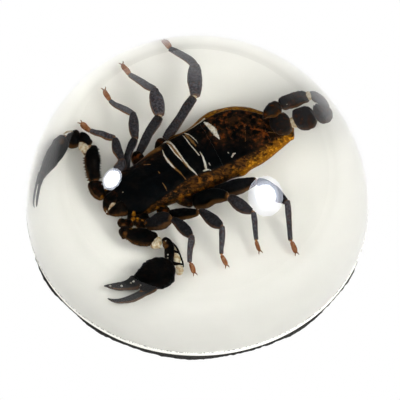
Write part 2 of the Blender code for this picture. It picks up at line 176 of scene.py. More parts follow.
# Tan stains, in the same way
TAN_FILMS = (
    ((12.1, 2.4, 0.5), (12.4, 0.3, 0.42), (12.8, -1.0, 0.26), (13.2, -2.5, 0.2)),
    ((13.8, 5.2, 0.4), (13.95, 3.0, 0.42), (14.1, 1.6, 0.36), (14.4, -0.8, 0.3)),
    ((16.9, 4.8, 0.45), (17.1, 3.4, 0.5), (17.3, 2.0, 0.3)),
    ((9.4, -1.4, 0.14), (9.5, -2.2, 0.2), (9.5, -3.0, 0.12)),
    ((24.3, -1.8, 0.08), (25.3, 0.2, 0.12), (26.0, 2.0, 0.1)),
    ((28.6, -0.2, 0.12), (29.4, -0.6, 0.2), (30.1, -0.9, 0.12)),
    ((8.4, 3.1, 0.2), (9.0, 2.8, 0.26), (9.3, 2.6, 0.14)),
    ((9.8, 0.7, 0.26), (9.9, 0.4, 0.26)),
)

# Limb parts, root to tip, as rings of (x, y, height, width)
CHELICERAE = (
    ((-11.6, -1.4, 3.3, 2.5), (-12.7, -1.6, 3.2, 2.5), (-13.8, -2.1, 3.1, 2.3),
     (-14.8, -2.8, 2.9, 1.8), (-15.1, -3.4, 2.8, 1.4), (-15.3, -4.3, 2.7, 0.9)),
    ((-11.3, -3.8, 3.3, 2.8), (-12.3, -4.2, 3.1, 2.7), (-13.5, -4.6, 3.0, 2.1),
     (-14.3, -4.9, 2.9, 1.4), (-14.9, -5.0, 2.7, 0.7)),
)
CHELICERA_FINGERS = (
    ((-15.0, -3.3, 2.8, 0.9), (-15.4, -4.0, 2.7, 0.6), (-15.3, -4.8, 2.6, 0.2)),
    ((-14.7, -3.3, 2.7, 0.7), (-14.9, -4.2, 2.6, 0.5), (-14.8, -4.7, 2.5, 0.15)),
    ((-13.9, -4.9, 2.8, 0.8), (-14.7, -5.0, 2.6, 0.55), (-15.3, -4.9, 2.5, 0.2)),
    ((-13.8, -4.5, 2.6, 0.7), (-14.5, -4.5, 2.5, 0.45), (-15.0, -4.6, 2.4, 0.15)),
)

LEFT_ARM = {
    "hip": ((-13.4, -1.0, 2.4, 1.8), (-14.6, -0.9, 2.4, 2.0), (-15.4, -0.9, 2.4, 1.6)),
    "trochanter": ((-15.0, -1.0, 2.4, 1.4), (-15.9, -1.0, 2.5, 2.2), (-16.5, -0.2, 2.5, 2.3),
                   (-16.7, 0.8, 2.6, 2.5), (-16.7, 1.4, 2.7, 1.8)),
    "femur": ((-16.6, 1.2, 2.7, 1.9), (-16.8, 2.1, 2.7, 2.1), (-16.9, 3.4, 2.7, 2.3),
              (-16.9, 4.9, 2.8, 2.6), (-16.8, 6.2, 2.8, 2.3), (-16.5, 7.2, 2.8, 1.5),
              (-16.4, 7.9, 2.8, 0.8)),
    "patella": ((-16.8, 8.1, 2.8, 0.8), (-17.3, 8.6, 2.8, 1.2), (-17.9, 9.2, 2.7, 1.7),
                (-18.6, 9.5, 2.6, 1.9), (-19.0, 9.6, 2.6, 1.8)),
    "patella_lobe": ((-18.5, 9.5, 2.7, 1.9), (-19.2, 9.5, 2.6, 2.6), (-19.9, 9.3, 2.5, 2.9),
                     (-20.7, 9.5, 2.5, 1.9), (-21.3, 9.7, 2.4, 1.2)),
    "palm": ((-21.4, 10.1, 2.4, 1.5), (-21.8, 9.6, 2.3, 2.3), (-22.2, 8.9, 2.3, 3.3),
             (-22.9, 8.0, 2.2, 3.5), (-23.9, 6.9, 2.2, 3.5), (-25.1, 5.6, 2.1, 3.2),
             (-26.4, 4.2, 2.1, 2.4), (-27.2, 3.2, 2.0, 1.9)),
    "fixed_finger": ((-26.8, 3.4, 2.0, 1.4), (-27.5, 2.4, 2.0, 1.15), (-28.1, 1.3, 1.9, 0.85),
                     (-28.7, 0.0, 1.8, 0.8), (-29.3, -1.3, 1.8, 0.75), (-29.7, -2.3, 1.7, 0.6),
                     (-29.9, -3.0, 1.6, 0.25)),
    "free_finger": ((-27.5, 3.9, 2.0, 1.5), (-28.0, 3.1, 1.9, 1.3), (-28.7, 2.2, 1.9, 0.95),
                    (-29.4, 1.1, 1.9, 0.8), (-30.2, -0.3, 1.8, 0.8), (-30.7, -1.5, 1.7, 0.8),
                    (-31.0, -2.4, 1.7, 0.6), (-30.8, -3.2, 1.6, 0.2)),
}
RIGHT_ARM = {
    "hip": ((-10.4, -5.0, 2.4, 1.8), (-10.7, -6.0, 2.5, 2.0), (-10.8, -6.8, 2.6, 1.6)),
    "trochanter_lump": ((-13.4, -6.6, 2.5, 0.9), (-12.9, -6.8, 2.6, 1.4), (-12.2, -7.2, 2.6, 1.7),
                        (-11.3, -7.0, 2.6, 1.6), (-10.7, -6.8, 2.6, 1.0)),
    "trochanter": ((-12.2, -7.2, 2.5, 1.2), (-12.0, -8.0, 2.6, 1.8), (-12.3, -9.0, 2.7, 1.9),
                   (-11.9, -9.9, 2.7, 1.4)),
    "root_lump": ((-11.1, -6.3, 2.6, 1.0), (-10.3, -6.6, 2.7, 1.4), (-9.4, -7.2, 2.7, 1.3),
                  (-8.5, -7.6, 2.6, 0.9)),
    "femur": ((-12.3, -9.2, 2.7, 1.2), (-11.4, -9.4, 2.8, 2.2), (-10.3, -9.7, 2.8, 2.9),
              (-9.3, -9.9, 2.8, 3.1), (-8.2, -9.9, 2.7, 2.8), (-7.4, -9.7, 2.7, 1.9),
              (-6.6, -9.6, 2.7, 1.0)),
    "patella": ((-5.8, -10.0, 2.7, 0.9), (-5.2, -10.8, 2.6, 1.6), (-4.8, -11.9, 2.6, 1.8),
                (-4.8, -13.3, 2.5, 1.7), (-4.8, -14.4, 2.5, 1.5), (-4.7, -15.5, 2.4, 0.9)),
    "patella_edge": ((-5.3, -10.2, 2.9, 0.25), (-4.5, -10.8, 2.8, 0.3), (-3.7, -11.7, 2.8, 0.32),
                     (-3.2, -12.8, 2.7, 0.34), (-2.8, -14.0, 2.6, 0.32), (-2.5, -15.2, 2.6, 0.3),
                     (-2.4, -16.1, 2.5, 0.2)),
    "upper_bar": ((-4.7, -12.4, 2.7, 0.6), (-3.8, -12.8, 2.7, 0.5), (-3.0, -13.1, 2.7, 0.3)),
    "lower_bar": ((-4.9, -14.9, 2.6, 0.8), (-4.0, -15.3, 2.6, 0.65), (-3.3, -15.4, 2.6, 0.5),
                  (-2.5, -15.5, 2.6, 0.3)),
    "palm": ((-3.8, -16.3, 2.3, 2.2), (-4.4, -16.4, 2.3, 4.0), (-5.1, -16.6, 2.2, 5.3),
             (-6.2, -17.0, 2.2, 6.0), (-7.4, -17.7, 2.2, 6.1), (-8.7, -18.5, 2.1, 5.3),
             (-9.9, -19.1, 2.0, 4.3), (-11.0, -19.5, 2.0, 3.1)),
    "fixed_finger": ((-10.4, -19.2, 2.0, 3.0), (-11.2, -19.5, 2.0, 2.8), (-11.9, -19.8, 1.9, 2.4),
                     (-13.2, -20.2, 1.8, 1.75), (-14.6, -20.5, 1.8, 1.5), (-16.0, -20.5, 1.7, 1.0),
                     (-16.8, -20.4, 1.6, 0.5), (-17.3, -20.4, 1.5, 0.2)),
    "free_finger": ((-7.4, -20.2, 2.0, 1.5), (-8.4, -20.9, 2.0, 1.6), (-9.6, -21.7, 1.9, 1.45),
                    (-10.8, -22.5, 1.8, 1.5), (-12.1, -23.3, 1.7, 1.5), (-13.7, -24.0, 1.7, 1.15),
                    (-15.2, -24.3, 1.6, 0.9), (-16.3, -24.1, 1.5, 0.6), (-17.1, -23.6, 1.4, 0.2)),
}

# A leg's hip, femur, patella, shin and foot
LEGS = {
    "left_leg_1": (
        ((-12.2, 0.8, 2.2, 2.0), (-12.7, 1.9, 2.4, 2.2), (-12.8, 2.9, 2.6, 2.0)),
        ((-12.7, 2.7, 2.7, 1.9), (-12.5, 3.2, 3.4, 2.2), (-12.3, 3.7, 4.1, 1.6),
         (-12.3, 4.2, 4.6, 1.0)),
        ((-12.3, 4.2, 4.6, 0.9), (-12.5, 5.1, 4.5, 1.35), (-12.9, 6.3, 4.3, 1.6),
         (-13.0, 7.4, 4.2, 1.4), (-13.1, 8.2, 4.1, 0.9)),
        ((-13.3, 8.5, 4.1, 0.9), (-14.1, 9.0, 3.5, 1.15), (-15.0, 9.8, 2.9, 1.05),
         (-15.8, 10.4, 2.2, 0.9), (-16.4, 10.9, 1.8, 0.75)),
        ((-16.5, 10.9, 1.7, 0.65), (-17.1, 11.5, 1.6, 0.75), (-17.6, 12.2, 1.4, 0.65),
         (-17.9, 12.6, 1.3, 0.3)),
    ),
    "left_leg_2": (
        ((-10.8, 2.2, 2.2, 1.8), (-11.2, 3.0, 2.4, 1.9), (-11.4, 3.8, 2.6, 1.5)),
        ((-11.5, 3.4, 2.7, 1.4), (-11.3, 4.7, 3.4, 1.3), (-10.8, 6.2, 4.2, 1.25),
         (-10.3, 7.2, 4.8, 1.35), (-10.0, 7.7, 5.0, 1.05)),
        ((-9.9, 7.9, 5.0, 0.95), (-10.0, 9.4, 4.7, 1.55), (-10.0, 10.9, 4.4, 1.65),
         (-10.0, 12.0, 4.2, 1.3), (-10.0, 12.7, 4.1, 0.8)),
        ((-10.1, 12.7, 4.1, 0.85), (-10.8, 13.4, 3.6, 1.05), (-11.8, 14.4, 2.8, 0.95),
         (-12.5, 15.1, 2.2, 0.8), (-13.0, 15.8, 1.8, 0.65)),
        ((-13.1, 16.0, 1.7, 0.55), (-13.4, 16.7, 1.6, 0.65), (-13.7, 17.4, 1.4, 0.5),
         (-13.8, 17.9, 1.3, 0.25)),
    ),
    "left_leg_3": (
        ((-8.6, 3.0, 2.2, 2.0), (-9.2, 4.6, 2.5, 2.0), (-9.4, 6.0, 2.7, 1.9),
         (-9.2, 6.7, 2.7, 1.2)),
        ((-9.1, 6.6, 2.7, 1.1), (-8.6, 7.5, 3.1, 1.4), (-7.5, 9.5, 4.0, 1.5),
         (-6.5, 10.8, 4.7, 1.6), (-6.0, 11.6, 5.0, 1.3)),
        ((-5.9, 12.0, 5.0, 1.4), (-6.1, 13.4, 4.7, 2.15), (-6.3, 14.8, 4.5, 2.2),
         (-6.5, 15.9, 4.2, 1.7), (-6.5, 16.7, 4.1, 1.0)),
        ((-6.6, 16.8, 4.1, 1.0), (-7.5, 17.5, 3.5, 1.15), (-8.4, 18.5, 2.8, 1.05),
         (-9.3, 19.4, 2.2, 0.9), (-9.8, 19.9, 1.8, 0.75)),
        ((-9.9, 20.0, 1.7, 0.7), (-10.3, 20.8, 1.6, 0.7), (-10.7, 21.4, 1.4, 0.5),
         (-10.9, 21.9, 1.3, 0.25)),
    ),
    "left_leg_4": (
        ((-5.4, 4.6, 2.2, 2.0), (-5.7, 6.6, 2.5, 2.0), (-5.6, 8.2, 2.7, 1.7),
         (-5.2, 8.9, 2.7, 1.2)),
        ((-4.9, 8.9, 2.7, 1.2), (-4.3, 9.7, 3.0, 1.5), (-2.6, 12.0, 3.9, 1.45),
         (-1.5, 13.7, 4.5, 1.5), (-0.6, 14.9, 5.0, 1.3)),
        ((-0.3, 15.3, 5.0, 1.4), (-0.3, 16.8, 4.7, 2.05), (-0.4, 18.2, 4.5, 2.3),
         (-0.4, 19.7, 4.3, 2.0), (-0.4, 20.6, 4.1, 1.3)),
        ((-0.4, 20.6, 4.1, 1.15), (-1.0, 21.5, 3.6, 1.2), (-2.1, 22.5, 2.9, 1.1),
         (-3.1, 23.3, 2.2, 1.0), (-3.8, 23.8, 1.8, 0.8)),
        ((-3.9, 23.9, 1.7, 0.75), (-4.2, 24.6, 1.6, 0.8), (-4.6, 25.3, 1.4, 0.65),
         (-4.9, 25.8, 1.3, 0.35)),
    ),
    "right_leg_1": (
        ((-9.4, -4.6, 2.2, 2.0), (-8.9, -6.0, 2.3, 2.2), (-8.4, -6.9, 2.5, 2.0)),
        ((-8.3, -7.1, 2.6, 1.8), (-7.2, -7.4, 3.3, 2.3), (-6.3, -7.4, 3.9, 2.8),
         (-5.3, -7.5, 4.6, 2.5), (-4.6, -7.7, 5.0, 1.4)),
        ((-4.2, -7.7, 5.0, 0.9), (-3.4, -8.2, 4.8, 1.5), (-2.7, -8.8, 4.6, 1.9),
         (-1.9, -9.6, 4.3, 1.9), (-1.2, -10.4, 4.1, 1.1)),
        ((-1.0, -10.5, 4.1, 0.95), (-1.0, -11.3, 3.7, 1.2), (-1.2, -12.3, 3.0, 1.05),
         (-1.3, -13.3, 2.4, 0.9), (-1.3, -14.2, 1.8, 0.8)),
        ((-1.2, -14.5, 1.7, 0.6), (-0.9, -15.2, 1.6, 0.75), (-0.7, -15.9, 1.4, 0.6),
         (-0.5, -16.4, 1.3, 0.25)),
    ),
    "right_leg_2": (
        ((-6.4, -3.2, 2.2, 2.0), (-5.4, -4.4, 2.3, 2.0), (-4.6, -5.1, 2.5, 1.7)),
        ((-4.4, -5.1, 2.6, 1.4), (-3.1, -5.6, 3.3, 1.9), (-1.9, -5.9, 4.0, 1.8),
         (-0.8, -6.2, 4.6, 1.5), (0.0, -6.3, 5.0, 1.0)),
        ((0.4, -5.9, 5.0, 0.8), (1.2, -6.4, 4.8, 1.5), (2.2, -7.2, 4.5, 2.05),
         (3.1, -7.9, 4.3, 2.0), (4.0, -8.4, 4.1, 1.1)),
        ((4.2, -8.6, 4.1, 0.9), (4.2, -9.5, 3.6, 1.1), (4.2, -10.5, 3.0, 1.0),
         (4.1, -11.6, 2.3, 0.8), (4.1, -12.4, 1.8, 0.7)),
        ((4.1, -12.8, 1.7, 0.55), (4.4, -13.4, 1.6, 0.65), (4.8, -14.2, 1.4, 0.55),
         (5.0, -14.7, 1.3, 0.25)),
    ),
    "right_leg_3": (
        ((-3.4, -1.0, 2.2, 2.2), (-1.8, -2.2, 2.4, 2.2), (-0.4, -2.7, 2.6, 2.0)),
        ((-0.5, -2.7, 2.6, 2.2), (1.3, -2.7, 3.4, 2.8), (2.5, -2.5, 4.0, 2.5),
         (3.7, -2.7, 4.5, 2.2), (4.9, -3.1, 5.0, 1.4)),
        ((5.3, -3.3, 5.0, 1.1), (6.0, -3.7, 4.8, 1.7), (6.9, -4.4, 4.6, 2.15),
         (7.9, -5.0, 4.3, 1.9), (9.0, -5.5, 4.1, 0.95)),
        ((9.4, -5.8, 4.1, 0.9), (9.6, -6.8, 3.5, 1.0), (9.7, -7.8, 2.8, 0.9),
         (9.8, -8.8, 2.2, 0.8), (9.9, -9.5, 1.8, 0.75)),
        ((9.9, -9.9, 1.7, 0.65), (10.1, -10.5, 1.6, 0.6), (10.4, -11.3, 1.4, 0.45),
         (10.6, -11.7, 1.3, 0.2)),
    ),
    "right_leg_4": (
        ((0.0, 0.8, 2.2, 2.2), (1.6, 0.0, 2.4, 2.2), (3.0, -0.5, 2.6, 1.9)),
        ((2.9, -0.6, 2.7, 1.5), (4.8, -0.7, 3.3, 2.2), (6.6, -0.6, 4.0, 2.5),
         (8.3, -0.3, 4.5, 1.9), (9.6, -0.1, 5.0, 1.2)),
        ((10.0, -0.1, 5.0, 1.1), (10.9, -0.6, 4.8, 1.9), (11.9, -1.5, 4.6, 2.5),
         (13.1, -2.4, 4.4, 2.4), (14.2, -3.1, 4.2, 1.6), (14.8, -3.5, 4.1, 1.0)),
        ((15.1, -3.5, 4.1, 1.0), (15.3, -4.8, 3.6, 1.1), (15.5, -6.5, 3.0, 1.0),
         (15.7, -8.2, 2.4, 0.9), (15.9, -9.7, 1.8, 0.85)),
        ((16.1, -10.1, 1.7, 0.65), (16.5, -10.8, 1.6, 0.75), (16.9, -11.7, 1.4, 0.65),
         (17.2, -12.3, 1.3, 0.25)),
    ),
}

TAIL = (
    ((11.7, 10.6, 4.4, 2.5), (12.4, 10.7, 4.6, 3.5), (13.3, 10.7, 4.7, 3.8),
     (14.2, 10.7, 4.7, 3.5), (14.9, 10.8, 4.8, 2.4)),
    ((15.5, 11.1, 4.8, 2.6), (16.3, 11.5, 4.8, 3.6), (17.3, 11.8, 4.9, 3.9),
     (18.3, 12.2, 4.9, 3.6), (19.2, 12.5, 4.9, 2.3)),
    ((19.2, 12.5, 4.9, 2.5), (20.1, 12.9, 5.0, 3.3), (21.0, 13.5, 5.1, 3.6),
     (21.4, 14.2, 5.2, 3.2), (21.3, 14.8, 5.2, 2.5)),
    ((21.2, 14.5, 5.2, 2.4), (21.0, 15.5, 5.3, 2.8), (20.3, 16.0, 5.4, 2.6),
     (19.5, 16.1, 5.5, 2.3), (18.6, 15.9, 5.6, 1.9)),
    ((18.0, 15.8, 5.6, 1.8), (16.8, 15.4, 5.7, 2.2), (15.4, 14.6, 5.8, 2.4),
     (14.1, 14.0, 5.9, 2.3), (13.2, 13.5, 5.9, 1.9)),
)
TELSON = (
    (13.4, 13.4, 6.0, 1.4), (12.8, 13.0, 6.2, 2.3), (12.1, 12.4, 6.3, 2.5), (11.4, 11.8, 6.5, 1.9),
    (11.0, 11.3, 6.6, 1.1), (10.8, 10.9, 6.7, 0.6), (10.6, 10.5, 6.9, 0.2),
)

# Folded pale skin: how orange it is, and its rings of (x, y, height, width)
MEMBRANES = (
    (0.35, ((-18.8, 8.7, 2.5, 0.7), (-18.4, 8.0, 2.5, 1.4), (-17.9, 7.3, 2.5, 1.4),
            (-17.8, 6.5, 2.5, 0.9), (-17.9, 5.8, 2.5, 0.4))),
    (0.5, ((-16.7, 8.1, 2.5, 0.6), (-17.1, 7.6, 2.5, 1.1), (-17.5, 7.1, 2.5, 0.9))),
    (0.0, ((-21.7, 10.4, 2.6, 0.25), (-20.9, 10.7, 2.7, 0.32), (-20.1, 10.7, 2.7, 0.28),
           (-19.2, 10.3, 2.7, 0.2))),
    (0.9, ((-16.7, 0.8, 2.6, 1.6), (-16.7, 1.2, 2.7, 1.7), (-16.7, 1.6, 2.7, 1.6))),
    (0.55, ((-21.4, 9.3, 2.4, 0.8), (-21.5, 9.8, 2.4, 1.0), (-21.3, 10.3, 2.4, 0.7))),
    (0.1, ((-7.8, -11.8, 2.4, 0.8), (-7.2, -11.2, 2.4, 1.7), (-6.5, -10.8, 2.5, 2.1),
           (-6.0, -11.0, 2.5, 1.6))),
    (0.1, ((-4.1, -10.8, 2.4, 0.4), (-4.0, -11.8, 2.4, 0.85), (-3.5, -12.6, 2.4, 0.6))),
    (0.05, ((-3.8, -12.8, 2.3, 0.7), (-3.5, -13.7, 2.3, 1.25), (-3.4, -14.6, 2.3, 1.1),
            (-3.7, -15.4, 2.3, 0.8))),
    (0.1, ((-3.3, -15.4, 2.1, 1.1), (-3.1, -16.4, 2.2, 1.45), (-3.3, -17.5, 2.1, 1.0))),
    (0.45, ((-12.4, -9.4, 2.6, 0.9), (-11.9, -9.0, 2.6, 1.2), (-11.6, -8.5, 2.6, 0.9))),
    (0.45, ((-13.5, -3.4, 3.1, 0.7), (-13.9, -3.8, 3.2, 1.2), (-14.4, -4.3, 3.1, 0.9),
            (-14.8, -4.7, 3.0, 0.4))),
    (0.8, ((-11.2, -3.0, 3.2, 0.7), (-11.9, -3.1, 3.3, 0.9), (-12.6, -3.0, 3.3, 0.6))),
    (0.25, ((15.0, 10.3, 4.5, 1.2), (15.4, 11.1, 4.6, 2.0), (15.7, 12.0, 4.7, 1.2))),
    (0.45, ((18.9, 11.6, 4.7, 1.0), (19.2, 12.4, 4.8, 1.5), (19.4, 13.2, 4.8, 1.0))),
    (0.0, ((18.3, 16.8, 5.6, 0.8), (18.3, 15.9, 6.0, 1.3), (18.3, 15.1, 5.6, 0.8))),
    (0.2, ((13.5, 14.1, 5.8, 0.7), (13.4, 13.5, 5.9, 0.9), (13.3, 12.8, 5.8, 0.6))),
)

# Small patches of colour seen from above, on whatever part lies there: (x, y, size, strength). The
# patches of pale film are mostly painted glints of light on the shell
PATCHES = {
    "gold": (
        (-7.9, -5.4, 0.6, 0.6), (-7.1, -5.1, 0.7, 0.65), (-6.4, -4.4, 0.6, 0.6),
        (-5.6, -3.9, 0.5, 0.6), (-4.2, -4.0, 0.6, 0.6), (-3.6, -3.4, 0.7, 0.65),
        (-2.8, -2.8, 0.6, 0.55), (-1.6, -2.2, 0.6, 0.5), (-12.0, -6.6, 0.6, 0.65),
        (-10.8, -6.5, 0.7, 0.75), (-10.6, -5.7, 0.7, 0.8), (-10.0, -6.9, 0.5, 0.65),
        (-11.2, -8.7, 0.6, 0.8), (-10.4, -8.5, 0.6, 0.8), (-9.5, -8.5, 0.6, 0.75),
        (-9.9, -6.4, 0.6, 0.8), (-9.2, -6.7, 0.5, 0.75), (-8.7, -7.4, 0.5, 0.7),
        (-15.8, -2.0, 0.6, 0.7), (-15.0, -0.6, 0.5, 0.7), (-11.0, -21.6, 0.5, 0.6),
        (-10.3, -22.0, 0.6, 0.7), (-9.5, -21.9, 0.5, 0.6),
    ),
    "amber": (
        (-5.7, -11.3, 0.6, 0.5), (-5.4, -12.1, 0.6, 0.4), (-12.3, -9.6, 0.5, 0.4),
        (-13.2, -6.4, 0.5, 0.5), (-12.5, -7.8, 0.5, 0.4), (-22.5, 8.6, 0.8, 0.25),
    ),
    # Mostly painted glints of light on the shell and the claws' fingers
    "film": (
        (-6.7, -4.8, 0.16, 0.8), (-7.0, -5.6, 0.14, 0.7), (-1.0, -4.0, 0.2, 0.8),
        (-0.7, -4.3, 0.2, 0.8), (-5.1, -13.9, 0.26, 0.9), (-5.1, -14.5, 0.24, 0.8),
        (-12.4, -2.2, 0.2, 0.7), (-16.1, -20.7, 0.35, 0.8), (-13.9, -20.8, 0.4, 0.8),
        (-12.1, -20.3, 0.35, 0.7), (-11.6, -20.1, 0.4, 0.75), (-10.3, -20.6, 0.3, 0.7),
        (-5.4, -11.0, 0.2, 0.8), (14.5, 13.4, 0.2, 0.7),
    ),
}

# How each part of an arm differs: the thin ones, the lumpy ones with spines, and those with
# more rings and with keels of (turn, height, breadth)
THIN_PARTS = ("patella_edge", "upper_bar", "lower_bar")
LUMPY_PARTS = ("trochanter", "trochanter_lump", "root_lump")
ARM_RINGS = {"palm": 56, "femur": 40, "patella": 40}
ARM_KEELS = ((0.9, 0.06, 0.22), (2.2, 0.06, 0.22))

# The looks of a leg's femur, patella and shin
LEG_LOOKS = (
    {"ends": 0.35, "rim": 0.8, "along": 40, "around": 32, "square": 2.6,
     "keels": ((0.9, 0.07, 0.25), (2.24, 0.07, 0.25))},
    {"ends": 0.4, "rim": 0.7, "along": 40, "around": 32, "square": 2.4,
     "keels": ((0.9, 0.06, 0.25), (2.24, 0.06, 0.25))},
    {"ends": 0.4, "rim": 0.9, "along": 36, "around": 28, "square": 2.5},
)
# How grey the same three are: 0 is black, 1 is grey, and what is over 1 is a painted pale
# reflection of the ball's surface
LEG_GREYS = {
    "left_leg_1": (0.5, 0.42, 1.0), "left_leg_2": (0.2, 0.5, 1.35),
    "left_leg_3": (0.3, 0.95, 1.35), "left_leg_4": (0.45, 1.1, 1.05),
    "right_leg_1": (0.1, 0.2, 0.85), "right_leg_2": (0.0, 0.25, 0.9),
    "right_leg_3": (0.0, 0.4, 1.0), "right_leg_4": (0.06, 0.3, 0.9),
}
# How much wider a foot is than its rings, from its root to its tip
FOOT_WIDENING = (1.0, 1.15, 1.45, 2.2)
# A claw at the end of a foot, as rings of (how far ahead, outwards and up, width)
FOOT_CLAW = ((-0.15, 0.0, 0.0, 0.26), (0.26, 0.26, 0.06, 0.18), (0.55, 0.38, -0.12, 0.08))
# A spine, as rings of (share of its length, share of its width), and its points around
SPINE = ((-0.25, 1.0), (0.0, 1.0), (0.5, 0.6), (0.85, 0.3), (1.0, 0.08))
SPINE_STEPS = 5
# How orange the skin is at the knee, the shin joint and the ankle
JOINT_ORANGES = {"left": (0.1, 0.4, 0.6), "right": (0.7, 0.8, 0.9)}
# The painted pale reflection of the ball's surface over each part of the tail, how square its
# rings are, and its keels
TAIL_REFLECTIONS = (0.05, 0.12, 0.22, 0.45, 0.15)
TAIL_SQUARES = (2.0, 2.3, 2.4, 2.3, 2.6)
TAIL_KEELS = ((0.75, 0.07, 0.2), (2.39, 0.07, 0.2), (1.57, -0.08, 0.35))
# The skin in a joint, as (share of its length, share of its width)
JOINT_PUFFS = ((-0.5, 0.7), (-0.25, 1.0), (0.0, 0.9), (0.25, 1.0), (0.5, 0.7))

# The two round lamps: the spot on the ball that mirrors each lamp, the way from there to the
# lamp, how far off it is in metres, and its half angle in degrees, seen from the origin
KEY_LAMP = ((0.0143, -0.0185, 0.0327), (0.704, -0.297, 0.645), 0.17, 7.5)
SIDE_LAMP = ((-0.0179, -0.0145, 0.0330), (-0.824, -0.056, 0.564), 0.25, 6.0)
# What the ball mirrors of each lamp, a bright core in a pale halo: (lamp, half angle in degrees
# seen from its spot, brightness, width and height against a circle, colour)
ROUND, TALL = (1.0, 1.0), (0.9, 1.06)
BLUISH, WHITE = (0.82, 0.87, 1.0), (1.0, 1.0, 1.0)
MIRRORED = (
    (KEY_LAMP, 13.3, 8.0, ROUND, BLUISH), (KEY_LAMP, 10.0, 6.0, ROUND, BLUISH),
    (KEY_LAMP, 7.6, 24.0, ROUND, WHITE),
    (SIDE_LAMP, 7.2, 11.0, TALL, BLUISH), (SIDE_LAMP, 5.6, 26.0, TALL, WHITE),
)
# Each disc hangs this share of the distance nearer than the one before
DISC_GAP = 0.004
# A broad soft lamp in front that the ball doesn't mirror: its place, its size and its brightness
FRONT_LAMP = ((0.02, -0.38, 0.32), 0.4, 4.0)
LAMPS_AIM = (0.0, 0.0, 0.003)

# The white floor and the white wall behind, in metres, and how each fades away from the
# paperweight: the distance of the full glow, that of the least, and the least glow
FLOOR_HALF_WIDTH = 1.5
FLOOR_FADE = (0.085, 0.22, 0.35)
WALL_HALF_WIDTH = 0.5
WALL_AT = 0.5
WALL_HEIGHT = 0.5
WALL_FADE = (0.18, 0.5, 0.0)

# The camera: its tilt down from the level, its distance from the ball's centre in metres, its
# sensor and lens in millimetres, and the shifts that frame the whole ball
CAMERA_TILT = math.radians(57.1)
CAMERA_DISTANCE = 0.320
CAMERA_SENSOR = 36.0
CAMERA_LENS = 122.112
CAMERA_SHIFT = (0.00675, 0.01475)


def spline(knots, at):
    """Smooth values between knots: cubic pieces whose slopes are the neighbours' mean slopes.

    The first column of knots is the place, and the others are the values at it.
    """
    knots = np.asarray(knots, dtype=float)
    places, values = knots[:, 0], knots[:, 1:]
    gaps = np.diff(places)[:, None]
    chords = np.diff(values, axis=0) / gaps
    inner = (chords[:-1] * gaps[1:] + chords[1:] * gaps[:-1]) / (gaps[:-1] + gaps[1:])
    slopes = np.vstack([chords[:1], inner, chords[-1:]])
    index = np.clip(np.searchsorted(places, at) - 1, 0, len(gaps) - 1)
    span = gaps[index]
    share = (np.asarray(at) - places[index])[:, None] / span
    rest = 1 - share
    return ((1 + 2 * share) * rest ** 2 * values[index] + share * rest ** 2 * slopes[index] * span
            + share ** 2 * (3 - 2 * share) * values[index + 1]
            - share ** 2 * rest * slopes[index + 1] * span)


def line_at(line, at):
    """The smooth value of a line of (place, value) at each place, as a column."""
    return spline(line, at)[:, :1]


def ramp(value, low, high):
    """0 below low, 1 above high and a smooth S between them."""
    share = np.clip((value - low) / (high - low), 0, 1)
    return share ** 2 * (3 - 2 * share)


def between(value, rise, fall):
    """1 between a rise and a fall, each a pair of places, and 0 outside, with smooth sides."""
    return ramp(value, *rise) * (1 - ramp(value, *fall))


def closing(distance, run, least):
    """The share of its width that a blunt end has at a distance: a quarter circle up to the run.

    The least is the square of the smallest share.
    """
    return np.sqrt(np.clip(1 - (1 - np.clip(distance / run, 0, 1)) ** 2, least, 1))


def oval(turn, square):
    """A squarish oval: cosine and sine raised to 2 / square, with their signs kept."""
    return [np.sign(value) * np.abs(value) ** (2 / square)
            for value in (np.cos(turn), np.sin(turn))]


def turned_from(turn, other):
    """How far each turn is from another one, the short way round."""
    return np.abs((turn - other + math.pi) % TAU - math.pi)


def ripple(points, size, seed):
    """A smooth wandering value of about -1 to 1: the mean of sines along random directions."""
    draws = np.random.default_rng(seed)
    ways = draws.normal(size=(RIPPLE_WAVES, points.shape[-1])) / size
    starts = draws.uniform(0, TAU, RIPPLE_WAVES)
    return np.sin(points @ ways.T * RIPPLE_TURN + starts).mean(axis=-1) * 2


def unit(vector):
    """A vector or rows of vectors, each brought to length 1."""
    return vector / np.linalg.norm(vector, axis=-1, keepdims=True)


